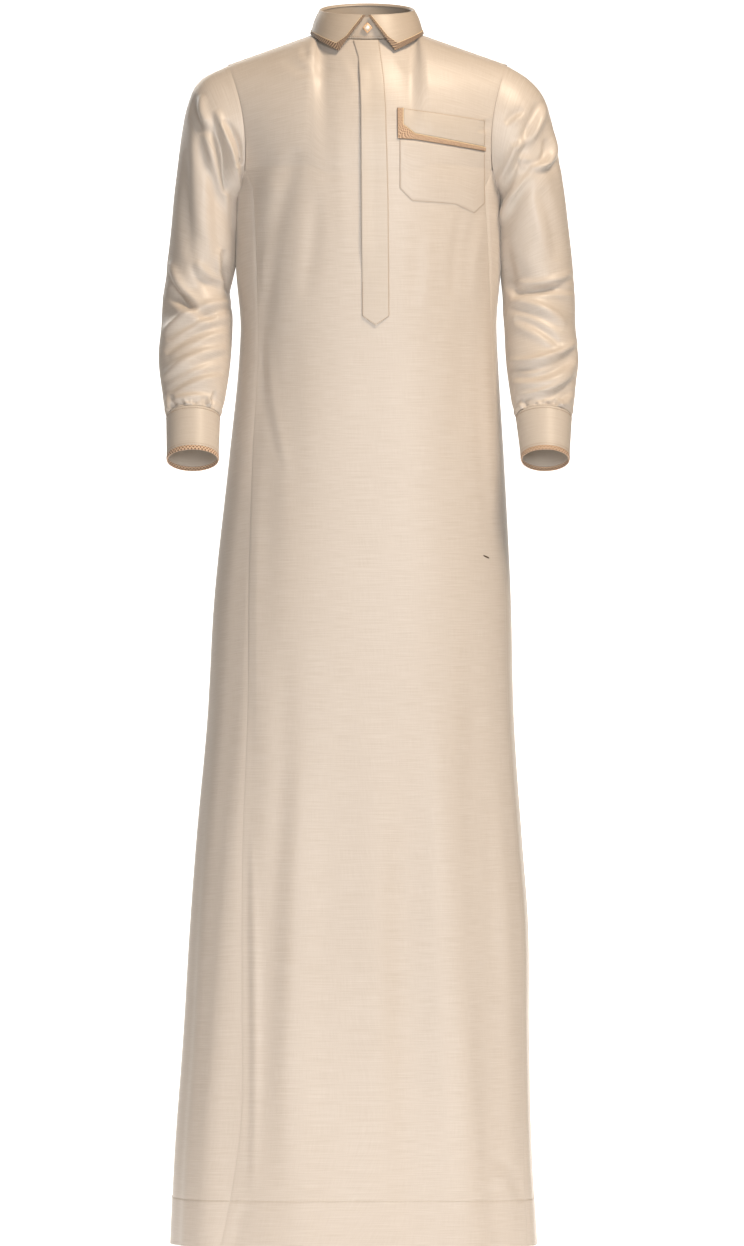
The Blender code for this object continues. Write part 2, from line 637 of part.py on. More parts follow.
def build_collar(cloth, edging):
    turn = 2 * math.pi - 0.005
    angle, up = grid(STAND_START + np.linspace(0, turn, 33), (0.0, 0.5, 1.0))
    surface_wall("collar_stand", stand_point, angle, up, CLOTH, cloth)
    around, down = grid(
        np.concatenate([[LEAF_EDGE], np.linspace(0.03, 0.97, 27), [1 - LEAF_EDGE]]),
        np.linspace(0, LEAF_HEM, 4),
    )
    surface_wall("collar_leaf", leaf_point, around, down, CLOTH, cloth)
    bottom = np.linspace(0.03, 0.97, 27)
    outer = [(0, 0), (0, 0.35), (0, 0.7), (0, 1)] + [(b, 1) for b in bottom]
    outer += [(1, 1), (1, 0.7), (1, 0.35), (1, 0)]
    low = LEAF_HEM + LEAF_TRIM_GAP
    inner_right = LEAF_EDGE - LEAF_END_GAP
    inner = [(inner_right, 0), (inner_right, 0.35), (inner_right, 0.7), (inner_right, low)]
    inner += [(b, low) for b in bottom]
    inner += [(1 - inner_right, low), (1 - inner_right, 0.7), (1 - inner_right, 0.35), (1 - inner_right, 0)]
    strip = np.array([outer, inner])
    surface_wall("collar_trim", leaf_point, strip[..., 0], strip[..., 1], PATCH_CLOTH, edging)


def front_patch(name, x, z, material, thickness=PATCH_CLOTH, lift=LIFT):
    """A piece that lies on the front, given by x and z: its points are the front's, moved out."""
    across, up = front_place(x, z)
    points = panel_point(across, up)
    normal = surface_normal(panel_point, across, up)
    return wall(name, points + normal * (lift + thickness), points + normal * lift, material)


def edge_between(points, x):
    return np.interp(x, [p[0] for p in points], [p[1] for p in points])


def build_placket(cloth):
    stations = np.concatenate([np.linspace(PLACKET_ROWS[0][0], -0.3780, 21), [PLACKET_ROWS[-1][0]]])
    share, z = grid(np.linspace(0, 1, 4), stations)
    rows_z = column(PLACKET_ROWS, PLACKET_COLUMNS, "z")[::-1]
    right = np.interp(z, rows_z, column(PLACKET_ROWS, PLACKET_COLUMNS, "right")[::-1])
    left = np.interp(z, rows_z, column(PLACKET_ROWS, PLACKET_COLUMNS, "left")[::-1])
    front_patch("placket", right + (left - right) * share, z, cloth, thickness=STIFF_CLOTH)


def build_pocket(cloth, edging):
    flap_x = np.concatenate([[0.0482, 0.0563], np.linspace(0.0643, 0.1575, 8)])
    x, share = grid(flap_x, np.linspace(0, 1, 4))
    top, low = edge_between(FLAP_TOP, x), edge_between(FLAP_LOW, x)
    front_patch("pocket_flap", x, low + (top - low) * share, cloth)
    pocket_x = np.concatenate([[0.0429, 0.0515], np.linspace(0.0600, 0.1180, 5), [0.1304, 0.1428, 0.1575]])
    x, share = grid(pocket_x, np.linspace(0, 1, 7))
    top, low = edge_between(POCKET_TOP, x), edge_between(POCKET_LOW, x)
    front_patch("chest_pocket", x, low + (top - low) * share, cloth, lift=POCKET_LIFT)
    outer, inner = list(EDGING_OUTER), list(EDGING_INNER)
    steps = np.linspace(0, 1, 8)[1:, None]
    run_outer = np.array(outer[-2]) + (np.array(outer[-1]) - np.array(outer[-2])) * steps
    run_inner = np.array(inner[-2]) + (np.array(inner[-1]) - np.array(inner[-2])) * steps
    strip = np.array([
        np.concatenate([np.array(outer[:-1]), run_outer]),
        np.concatenate([np.array(inner[:-1]), run_inner]),
    ])
    front_patch("pocket_trim", strip[..., 0], strip[..., 1], edging)


def build_stud(pearl):
    """The four-sided stud that closes the collar, a bevelled diamond."""
    bpy.ops.mesh.primitive_cylinder_add(vertices=4, radius=1, depth=1)
    stud = bpy.context.object
    stud.name = "collar_stud"
    stud.data.name = "collar_stud"
    up = (STUD_Z - NECK_Z_FRONT) / (STAND_TOP_FRONT - NECK_Z_FRONT)
    seat = stand_point(np.array(0.0), np.array(up))
    for vertex in stud.data.vertices:
        x, y, z = vertex.co
        vertex.co = (x * STUD_HALF_WIDTH, z * STUD_THICKNESS, y * STUD_HALF_HEIGHT)
    stud.location = (0, float(seat[1]) - STUD_THICKNESS / 2 - SEAM_GAP * 2, STUD_Z)
    mesh = bmesh.new()
    mesh.from_mesh(stud.data)
    bmesh.ops.recalc_face_normals(mesh, faces=mesh.faces)
    mesh.to_mesh(stud.data)
    mesh.free()
    bevel = stud.modifiers.new("edges", "BEVEL")
    bevel.width = STUD_BEVEL
    bevel.segments = 2
    stud.data.materials.append(pearl)
    for old in list(stud.users_collection):
        old.objects.unlink(stud)
    bpy.data.collections["thobe"].objects.link(stud)


def main():
    clear_scene()
    if "thobe" not in bpy.data.collections:
        bpy.context.scene.collection.children.link(bpy.data.collections.new("thobe"))
    cloth = make_material("cloth", TAN, 0.65, 0.0)
    edging = make_material("edging", BROWN, 0.7, 0.0)
    pearl = make_material("pearl", PEARL, 0.25, 0.0)
    build_panels(cloth)
    build_sides(cloth)
    build_sleeves(cloth, edging)
    build_collar(cloth, edging)
    build_placket(cloth)
    build_pocket(cloth, edging)
    build_stud(pearl)


main()
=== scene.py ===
"""A long tan robe with a shirt collar: the cloth, edging, stitching and stud that dress its frame.

Metres, +Z up, the front faces -Y and the wearer's left is +X.  The origin is the middle of
the neck opening.  Each cloth is a grid laid out flat, which a form then bends into the worn
shape: the form gives a point for each place on the cloth, and the folds push it in or out.
Places on the front are given in the units of a front-view drawing, 1.34 mm each.
"""
from __future__ import annotations

import logging
import math
from dataclasses import dataclass, field
from enum import Enum
from typing import Callable, Sequence

import bpy
import numpy as np
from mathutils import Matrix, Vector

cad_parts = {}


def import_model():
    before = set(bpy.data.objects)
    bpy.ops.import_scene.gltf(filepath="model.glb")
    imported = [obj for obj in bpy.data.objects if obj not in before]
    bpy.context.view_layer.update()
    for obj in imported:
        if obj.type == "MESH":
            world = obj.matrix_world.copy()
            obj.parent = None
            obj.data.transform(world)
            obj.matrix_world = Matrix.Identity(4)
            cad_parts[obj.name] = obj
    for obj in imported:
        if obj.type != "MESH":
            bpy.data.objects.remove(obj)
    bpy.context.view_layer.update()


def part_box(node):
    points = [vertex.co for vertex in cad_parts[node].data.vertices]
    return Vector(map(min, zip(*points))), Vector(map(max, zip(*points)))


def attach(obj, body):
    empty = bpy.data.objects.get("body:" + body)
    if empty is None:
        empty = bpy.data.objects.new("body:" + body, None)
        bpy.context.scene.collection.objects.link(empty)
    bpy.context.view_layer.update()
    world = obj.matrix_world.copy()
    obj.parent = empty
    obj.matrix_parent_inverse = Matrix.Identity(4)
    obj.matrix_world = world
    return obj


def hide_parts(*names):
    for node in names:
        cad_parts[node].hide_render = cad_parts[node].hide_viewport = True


LOG = logging.getLogger("robe")

Array = np.ndarray
Surface = Callable[[Array, Array], Array]
Piece = bpy.types.Object
Material = bpy.types.Material
Socket = bpy.types.NodeSocket
Colour = tuple[float, float, float]
Stop = tuple[float, Colour]

DRAWING_UNIT = 0.00134
DRAWING_MIDDLE = 367.0
DRAWING_ORIGIN = 36.0

HEM_Z = -1.618
HEM_FOLD_Z = -1.556
CHEST_Z = -0.205

# How far each way round the armhole the front and the back reach from the shoulder, and the
# share of their sides, above the chest line, that is seam and not armhole.
ARMHOLE_ARC = math.radians(135)
SEAM_SHARE = 2 / math.pi * math.asin((1 + math.cos(ARMHOLE_ARC)) / 2)

# Half sizes of the robe's section at each height, and how square the section is.
BODY_COLUMNS = ("z", "right", "left", "front", "back", "square")
BODY_ROWS = (
    (CHEST_Z, 0.1660, 0.1700, 0.118, 0.112, 2.30),
    (-0.260, 0.1665, 0.1705, 0.121, 0.111, 2.30),
    (-0.330, 0.1675, 0.1715, 0.122, 0.108, 2.32),
    (-0.434, 0.1715, 0.1755, 0.122, 0.109, 2.35),
    (-0.568, 0.1850, 0.1836, 0.126, 0.118, 2.42),
    (-0.756, 0.2050, 0.1930, 0.133, 0.132, 2.50),
    (-0.917, 0.2144, 0.1970, 0.139, 0.142, 2.60),
    (-1.077, 0.2290, 0.2077, 0.146, 0.150, 2.72),
    (-1.185, 0.2370, 0.2157, 0.152, 0.156, 2.80),
    (-1.345, 0.2466, 0.2170, 0.160, 0.164, 2.90),
    (-1.506, 0.2586, 0.2210, 0.168, 0.172, 3.00),
    (HEM_Z, 0.2640, 0.2280, 0.174, 0.178, 3.00),
)

# Where the side panels' seams lie, as a share of the half width at that height.
SEAM_COLUMNS = ("z", "front_right", "front_left", "back_right", "back_left")
SEAM_ROWS = (
    (CHEST_Z, 0.920, 0.930, 0.90, 0.90),
    (-0.290, 0.890, 0.955, 0.89, 0.89),
    (-0.400, 0.872, 0.962, 0.88, 0.88),
    (-0.545, 0.850, 0.960, 0.86, 0.86),
    (-0.756, 0.784, 0.955, 0.82, 0.84),
    (-1.090, 0.730, 0.950, 0.78, 0.82),
    (-1.290, 0.700, 0.945, 0.76, 0.80),
    (-1.480, 0.680, 0.940, 0.75, 0.79),
    (-1.560, 0.715, 0.935, 0.75, 0.79),
    (HEM_Z, 0.750, 0.930, 0.75, 0.79),
)

# The step of a slope taken by differences, and how far inside a cloth's ends it is taken.
SLOPE_STEP = 1e-4
INSIDE = 2e-4

# How close points are joined, the sharpest turns that cloth and cord are shaded smoothly
# over, and how far the folds of the sleeves stand up.
JOIN_REACH = 1e-5
CLOTH_SMOOTH = math.radians(50)
CORD_SMOOTH = math.radians(60)
SLEEVE_FOLD_STRENGTH = 1.7

# Directions that no seam runs along, from which a thread's or a cord's section is turned.
CORD_GUIDE = (0.12, 0.31, 0.94)
THREAD_GUIDE = (0.31, 0.12, 0.94)

# Long soft folds of the skirt, in degrees from the front middle: the fold's angle, its top and
# low z, how far it leans on its way down, its half width, and its depth in metres.
LONG_FOLD_ROWS = (
    (-52, -0.26, -0.62, 12, 9, -0.0035),
    (-38, -0.18, -0.40, -16, 7, -0.0030),
    (-44, -0.70, -1.70, -6, 8, 0.0050),
    (-30, -0.80, -1.70, -2, 9, -0.0045),
    (-12, -0.95, -1.75, 3, 8, 0.0040),
    (8, -0.85, -1.75, 2, 9, -0.0040),
    (26, -0.90, -1.75, 4, 8, 0.0040),
    (46, -0.60, -1.75, -5, 9, -0.0045),
    (66, -0.45, -1.70, 4, 8, 0.0045),
    (-78, -0.60, -1.75, 4, 9, -0.0060),
    (-104, -0.70, -1.75, -4, 9, 0.0060),
    (104, -0.70, -1.75, 4, 9, 0.0060),
    (128, -0.55, -1.75, -3, 10, -0.0060),
    (152, -0.40, -1.75, 2, 9, 0.0060),
    (178, -0.30, -1.75, 0, 10, -0.0060),
    (-154, -0.40, -1.75, -3, 9, 0.0060),
    (-130, -0.55, -1.75, 3, 10, -0.0060),
)

# Sleeve sections from the armhole to the cuff: the outer and inner edge seen from the
# front, half the depth, the middle's y, the forward tilt and the armhole's scoop.
SLEEVE_COLUMNS = ("outer_x", "outer_z", "inner_x", "inner_z", "depth", "y", "tilt", "scoop")
SLEEVE_RIGHT = (
    (0.1860, -0.040, 0.1670, -0.205, 0.058, 0.000, 0, 0.012),
    (0.2224, -0.059, 0.1715, -0.213, 0.060, 0.001, 0, 0.008),
    (0.2385, -0.086, 0.1735, -0.226, 0.060, 0.003, 0, 0.003),
    (0.2490, -0.133, 0.1725, -0.246, 0.059, 0.005, 0, 0.000),
    (0.2560, -0.193, 0.1725, -0.272, 0.058, 0.007, 0, 0.000),
    (0.2626, -0.260, 0.1745, -0.308, 0.056, 0.008, 0, 0.000),
    (0.2707, -0.327, 0.1830, -0.347, 0.054, 0.004, 5, 0.000),
    (0.2760, -0.381, 0.1800, -0.386, 0.050, -0.010, 13, 0.000),
    (0.2787, -0.434, 0.1825, -0.437, 0.046, -0.031, 21, 0.000),
    (0.2740, -0.481, 0.1890, -0.483, 0.040, -0.051, 25, 0.000),
    (0.2675, -0.511, 0.1965, -0.511, 0.034, -0.065, 26, 0.000),
)
SLEEVE_LEFT = (
    (0.1876, -0.040, 0.1715, -0.205, 0.058, 0.000, 0, 0.012),
    (0.2170, -0.059, 0.1755, -0.213, 0.060, 0.001, 0, 0.008),
    (0.2385, -0.086, 0.1770, -0.226, 0.060, 0.003, 0, 0.003),
    (0.2506, -0.133, 0.1760, -0.246, 0.059, 0.005, 0, 0.000),
    (0.2613, -0.193, 0.1760, -0.272, 0.058, 0.007, 0, 0.000),
    (0.2707, -0.260, 0.1775, -0.308, 0.056, 0.008, 0, 0.000),
    (0.2774, -0.327, 0.1815, -0.347, 0.054, 0.004, 5, 0.000),
    (0.2800, -0.381, 0.1835, -0.386, 0.050, -0.010, 13, 0.000),
    (0.2827, -0.434, 0.1860, -0.437, 0.046, -0.031, 21, 0.000),
    (0.2787, -0.481, 0.1920, -0.483, 0.040, -0.051, 25, 0.000),
    (0.2734, -0.511, 0.1985, -0.511, 0.034, -0.065, 26, 0.000),
)

# The cuffs at the sleeve and at the wrist edge.
CUFF_COLUMNS = ("x", "z", "half_width", "depth", "y")
CUFF_RIGHT = (
    (0.2322, -0.5112, 0.0358, 0.0345, -0.0655),
    (0.2325, -0.5660, 0.0343, 0.0325, -0.0915),
)
CUFF_LEFT = (
    (0.2362, -0.5112, 0.0373, 0.0345, -0.0655),
    (0.2378, -0.5660, 0.0322, 0.0325, -0.0915),
)

# Largest creases of a sleeve: the section it lies at, its angle round the sleeve, its slant,
# its half width in sections and in degrees, and its depth in metres.
CREASE_ROWS = (
    (2.6, 70, 30, 0.55, 34, -0.0040),
    (3.4, 118, 26, 0.60, 30, -0.0045),
    (4.6, 60, 20, 0.60, 38, 0.0030),
    (5.7, 130, -24, 0.45, 44, -0.0045),
    (6.5, 60, -26, 0.40, 52, -0.0045),
    (7.2, 120, -20, 0.40, 50, 0.0035),
    (7.9, 80, -22, 0.40, 56, -0.0040),
    (8.7, 100, 18, 0.35, 60, 0.0030),
    (9.4, 90, 10, 0.30, 70, -0.0028),
)

# The collar's leaf from its front edge round to the back: fold angle, low edge, low z.
LEAF_COLUMNS = ("along", "top", "low", "low_z")
LEAF_RIGHT = (
    (0.00, 1.6, 30.0, -0.0224),
    (0.12, 24.0, 46.0, -0.0135),
    (0.26, 50.0, 66.0, -0.0040),
    (0.45, 84.0, 90.0, 0.0027),
    (0.70, 130.0, 132.0, 0.0075),
    (1.00, 180.0, 180.0, 0.0100),
)
LEAF_LEFT = (LEAF_RIGHT[0], (0.12, 22.0, 46.0, -0.0135), *LEAF_RIGHT[2:])

# The placket's two edges down the front, and its point.
PLACKET_COLUMNS = ("z", "right", "left")
PLACKET_ROWS = (
    (-0.0090, -0.0185, 0.0160),
    (-0.0308, -0.0118, 0.0188),
    (-0.0616, -0.0094, 0.0228),
    (-0.1005, -0.0080, 0.0255),
    (-0.2200, -0.0074, 0.0288),
    (-0.3780, -0.0067, 0.0300),
    (-0.3910, 0.0112, 0.0124),
)

# The chest pocket, its flap and the woven edging, as x and z on the front.
FLAP_TOP = ((0.0482, -0.1005), (0.1575, -0.1150))
FLAP_LOW = ((0.0482, -0.1222), (0.0643, -0.1345), (0.1575, -0.1510))
EDGING_OUTER = (
    (0.0402, -0.1005),
    (0.0405, -0.1222),
    (0.0408, -0.1412),
    (0.0643, -0.1427),
    (0.1575, -0.1566),
)
EDGING_INNER = (
    (0.0478, -0.1005),
    (0.0478, -0.1224),
    (0.0560, -0.1287),
    (0.0641, -0.1349),
    (0.1575, -0.1515),
)
POCKET_TOP = ((0.0429, -0.1416), (0.0643, -0.1431), (0.1575, -0.1570))
POCKET_LOW = (
    (0.0429, -0.2080),
    (0.0600, -0.2250),
    (0.1180, -0.2290),
    (0.1428, -0.2405),
    (0.1575, -0.2270),
)

# The studio's lamps: name, place, aim, size in metres, power in watts and colour.
LAMP_ROWS = (
    ("key", (1.1, -5.1, 0.5), (0.0, 0.0, -0.75), 1.2, 92.0, (0.97, 0.99, 1.0)),
    ("front", (-0.9, -5.4, -0.6), (0.0, 0.0, -0.8), 1.6, 40.0, (0.95, 0.98, 1.0)),
    ("top", (1.5, -1.6, 2.6), (0.05, 0.0, 0.0), 0.9, 120.0, (1.0, 0.82, 0.62)),
    ("back", (-1.4, 2.3, 0.8), (0.0, 0.0, -0.8), 1.6, 22.0, (1.0, 0.97, 0.93)),
    ("bounce", (-3.6, -0.8, -0.8), (0.0, 0.0, -0.9), 1.6, 6.0, (1.0, 0.74, 0.54)),
)

# Folds of the front, in drawing units: from x0, y0 to x1, y1, the bow, the half width,
# the height in millimetres (minus is a trough) and the share of it that lies beside it the
# other way.
FRONT_FOLDS = (
    (296, 150, 254, 262, -6, 11, -3.2, 0.5),
    (278, 186, 262, 300, 3, 9, 2.2, 0.3),
    (316, 196, 304, 300, -3, 9, -1.8, 0.4),
    (303, 46, 319, 70, 3, 4, -0.96, 0.7),
    (313, 42, 306, 66, -2, 4, 0.84, 0.4),
    (282, 58, 334, 70, 9, 6, -0.96, 0.5),
    (346, 56, 361, 96, -3, 5, -0.96, 0.5),
    (340, 90, 345, 250, 2, 8, 0.6, 0.3),
    (398, 48, 412, 74, 3, 5, -0.6, 0.5),
    (404, 56, 470, 76, 6, 9, -0.6, 0.4),
    (478, 122, 502, 112, 2, 3, 1.6, 0.6),
    (476, 132, 502, 124, 2, 3, -1.6, 0.5),
    (462, 208, 452, 300, 2, 6, -1.6, 0.5),
    (484, 216, 474, 300, 3, 6, 1.8, 0.5),
    (430, 228, 424, 320, -2, 9, 1.0, 0.4),
    (268, 330, 288, 470, 4, 5, 1.4, 0.8),
    (256, 300, 262, 420, 2, 6, -1.6, 0.4),
    (292, 320, 300, 520, 3, 12, -1.2, 0.4),
    (462, 300, 458, 440, -3, 12, -1.8, 0.4),
    (438, 452, 466, 466, 2, 3, -0.9, 0.6),
    (486, 330, 494, 520, 2, 6, 1.5, 0.6),
    (258, 520, 262, 760, 4, 14, 2.0, 0.4),
    (284, 640, 268, 1100, -4, 14, -2.4, 0.4),
    (300, 760, 284, 1190, 5, 12, 2.4, 0.4),
    (330, 780, 322, 1240, 4, 16, -2.2, 0.3),
    (366, 700, 372, 1240, -4, 18, 2.0, 0.3),
    (404, 760, 412, 1240, 5, 16, -2.2, 0.3),
    (438, 700, 452, 1200, 6, 14, 2.0, 0.4),
    (470, 620, 486, 1180, 5, 12, -2.4, 0.4),
    (496, 760, 512, 1190, -4, 9, 2.2, 0.5),
    (252, 840, 254, 1190, -3, 5, 2.4, 0.6),
    (254, 1188, 236, 1244, 3, 7, -1.2, 0.5),
    (492, 1150, 520, 1200, -6, 8, -1.8, 0.5),
    (480, 1180, 512, 1168, 3, 6, 1.4, 0.5),
)

# Folds of the back, drawn the same way: a few pulls between the shoulder blades and long ones.
BACK_FOLDS = (
    (367, 60, 367, 320, 3, 16, -3.0, 0.3),
    (312, 96, 338, 240, 6, 12, 2.4, 0.5),
    (424, 100, 398, 250, -6, 12, 2.4, 0.5),
    (268, 150, 306, 330, 8, 10, -2.6, 0.6),
    (468, 150, 430, 330, -8, 10, -2.6, 0.6),
    (256, 300, 300, 420, 8, 8, 2.0, 0.6),
    (480, 300, 436, 430, -8, 8, 2.0, 0.6),
    (330, 420, 322, 1200, 5, 16, -3.0, 0.4),
    (380, 480, 392, 1230, -5, 18, 2.8, 0.4),
    (430, 520, 452, 1220, 5, 16, -3.0, 0.4),
    (284, 560, 268, 1220, -5, 15, 2.8, 0.4),
)

# Folds of the right sleeve, seen from the front.
SLEEVE_RIGHT_FOLDS = (
    (202, 96, 214, 132, 5, 5, 3.4, 0.8),
    (207, 122, 226, 196, -5, 5, -4.2, 0.6),
    (216, 112, 232, 196, -6, 5, 4.0, 0.7),
    (224, 122, 240, 170, -5, 4, -3.8, 0.6),
    (232, 140, 238, 236, -3, 4, 3.0, 0.6),
    (218, 160, 222, 262, 3, 7, -2.6, 0.5),
    (196, 118, 202, 240, 4, 8, 2.2, 0.5),
    (186, 150, 192, 262, 3, 7, -1.8, 0.5),
    (234, 164, 248, 158, 2, 2.5, -2.0, 0.7),
    (170, 262, 201, 308, 5, 5, 3.2, 0.8),
    (168, 288, 218, 318, 4, 6, -4.0, 0.6),
    (162, 336, 234, 302, -7, 5, 4.0, 0.8),
    (166, 354, 230, 326, -5, 5, -3.6, 0.6),
    (226, 250, 230, 296, 3, 4, -4.0, 0.6),
    (196, 262, 226, 284, 4, 5, 2.4, 0.6),
    (162, 380, 228, 350, -6, 5, 3.2, 0.7),
    (168, 394, 224, 372, -5, 4, -2.6, 0.6),
    (172, 396, 180, 418, 2, 3, -2.4, 0.7),
    (184, 400, 190, 419, -2, 2.5, 2.2, 0.7),
    (196, 402, 198, 419, 2, 2.5, -2.2, 0.7),
    (208, 398, 207, 418, -2, 2.5, 2.2, 0.7),
    (216, 392, 213, 416, 1, 2.5, -2.0, 0.6),
    (166, 404, 214, 398, -3, 3, 1.8, 0.7),
)

# Folds of the left sleeve, seen from the front.
SLEEVE_LEFT_FOLDS = (
    (544, 104, 516, 152, -6, 5, 4.2, 0.8),
    (530, 126, 500, 190, -5, 5, -4.2, 0.6),
    (522, 164, 546, 140, 12, 4, -3.6, 0.7),
    (516, 158, 552, 132, 22, 5, 3.0, 0.5),
    (534, 172, 498, 226, 5, 5, 3.2, 0.7),
    (506, 126, 524, 112, -3, 4, -2.0, 0.5),
    (546, 116, 570, 216, -6, 7, 2.6, 0.5),
    (540, 190, 556, 262, -4, 8, -2.2, 0.5),
    (506, 240, 520, 300, 4, 6, -2.8, 0.5),
    (508, 282, 574, 272, 7, 4.5, 2.6, 0.8),
    (512, 296, 576, 292, -4, 4, -2.6, 0.6),
    (509, 303, 566, 326, -6, 5, 3.4, 0.7),
    (514, 320, 560, 346, -4, 5, -3.0, 0.6),
    (508, 362, 577, 342, 8, 4.5, 4.0, 0.8),
    (512, 378, 576, 356, 8, 4.5, -3.8, 0.6),
    (516, 396, 574, 372, 7, 4.5, 3.6, 0.7),
    (522, 410, 572, 390, 6, 4, -3.0, 0.6),
    (524, 400, 530, 418, 2, 2.5, -2.2, 0.7),
    (536, 402, 540, 419, -2, 2.5, 2.2, 0.7),
    (548, 402, 549, 419, 2, 2.5, -2.2, 0.7),
    (558, 398, 556, 417, -2, 2.5, 2.0, 0.7),
)


class Side(Enum):
    """The wearer's sides."""

    RIGHT = "right"
    LEFT = "left"

    @property
    def sign(self) -> float:
        """The sign of x on that side."""
        return -1.0 if self is Side.RIGHT else 1.0


class Slot(Enum):
    """The material slots."""

    CLOTH = "cloth"
    EDGING = "edging"
    PEARL = "pearl"


def smooth(place: Array, stations: Sequence[float], values: Sequence[float]) -> Array:
    """A curve with continuous slope through a table's stations.

    Args:
        place: where to read the curve.
        stations: the table's places, rising or falling.
        values: the table's values there.

    Returns:
        The value at each place.
    """
    stations, values = np.asarray(stations, float), np.asarray(values, float)
    if stations[0] > stations[-1]:
        stations, values = stations[::-1], values[::-1]
    slopes = np.gradient(values, stations)
    place = np.clip(place, stations[0], stations[-1])
    i = np.clip(np.searchsorted(stations, place) - 1, 0, len(stations) - 2)
    span = stations[i + 1] - stations[i]
    t = (place - stations[i]) / span
    return (
        (2 * t**3 - 3 * t**2 + 1) * values[i]
        + (t**3 - 2 * t**2 + t) * span * slopes[i]
        + (3 * t**2 - 2 * t**3) * values[i + 1]
        + (t**3 - t**2) * span * slopes[i + 1]
    )


def column(rows: Sequence[Sequence[float]], columns: Sequence[str], name: str) -> list[float]:
    """One named column of a table."""
    return [row[columns.index(name)] for row in rows]


def edge_between(points: Sequence[tuple[float, float]], x: Array) -> Array:
    """The height of a broken line at x."""
    return np.interp(x, [p[0] for p in points], [p[1] for p in points])


def unit_normal(surface: Surface, first: Array, second: Array, step: float = SLOPE_STEP) -> Array:
    """The unit normal of a surface at each pair of places."""
    ahead = surface(first + step, second) - surface(first - step, second)
    above = surface(first, second + step) - surface(first, second - step)
    normal = np.cross(ahead, above)
    return normal / np.linalg.norm(normal, axis=-1, keepdims=True)


def level_away(points: Array) -> Array:
    """The level direction from the neck's own upright line to each point."""
    away = points * np.array([1.0, 1.0, 0.0])
    return away / np.linalg.norm(away, axis=-1, keepdims=True)


@dataclass(frozen=True)
class Fold:
    """One soft fold, in drawing units, with its height in millimetres."""

    x0: float
    y0: float
    x1: float
    y1: float
    bow: float
    width: float
    height: float
    beside: float
    pieces: int = 14
    reach: float = 3.5
    end_taper: float = 0.6
    end_width: float = 0.75
    beside_place: float = 1.5

    def push(self, x: Array, z: Array) -> Array:
        """How far the fold moves the cloth out at x and z, in metres.

        Args:
            x: places across the front.
            z: heights.

        Returns:
            The push at each place, tapering to nothing at the fold's ends.
        """
        total = np.zeros(np.shape(x))
        px = DRAWING_MIDDLE + x / DRAWING_UNIT
        py = DRAWING_ORIGIN - z / DRAWING_UNIT
        reach = self.reach * self.width + abs(self.bow)
        near = (px > min(self.x0, self.x1) - reach) & (px < max(self.x0, self.x1) + reach)
        near &= (py > min(self.y0, self.y1) - reach) & (py < max(self.y0, self.y1) + reach)
        px, py = px[near], py[near]
        t = np.linspace(0, 1, self.pieces + 1)
        run = np.array([self.x1 - self.x0, self.y1 - self.y0])
        across = np.array([-run[1], run[0]]) / np.hypot(*run)
        bow = 4 * t * (1 - t) * self.bow
        path = np.array([self.x0, self.y0]) + t[:, None] * run + bow[:, None] * across
        nearest = np.full(px.shape, np.inf)
        along = np.zeros(px.shape)
        for k in range(self.pieces):
            start, step = path[k], path[k + 1] - path[k]
            ox, oy = px - start[0], py - start[1]
            s = np.clip((ox * step[0] + oy * step[1]) / (step @ step), 0, 1)
            away = np.hypot(ox - s * step[0], oy - s * step[1])
            side = np.sign(step[0] * oy - step[1] * ox)
            closer = away < np.abs(nearest)
            nearest = np.where(closer, away * np.where(side == 0, 1, side), nearest)
            along = np.where(closer, (k + s) / self.pieces, along)
        taper = np.sin(np.pi * np.clip(along, 0, 1)) ** self.end_taper
        share = nearest / (self.width * (self.end_width + (1 - self.end_width) * taper))
        shape = np.exp(-(share**2)) - self.beside * np.exp(-((share - self.beside_place) ** 2))
        total[near] = self.height / 1000 * taper * shape
        return total


@dataclass
class FoldSet:
    """The folds of one cloth."""

    rows: Sequence[Sequence[float]]
    strength: float = 1.0

    def push(self, x: Array, z: Array) -> Array:
        """The sum of every fold's push at x and z."""
        total = np.zeros(np.shape(x))
        for row in self.rows:
            total += Fold(*row).push(x, z)
        return total * self.strength


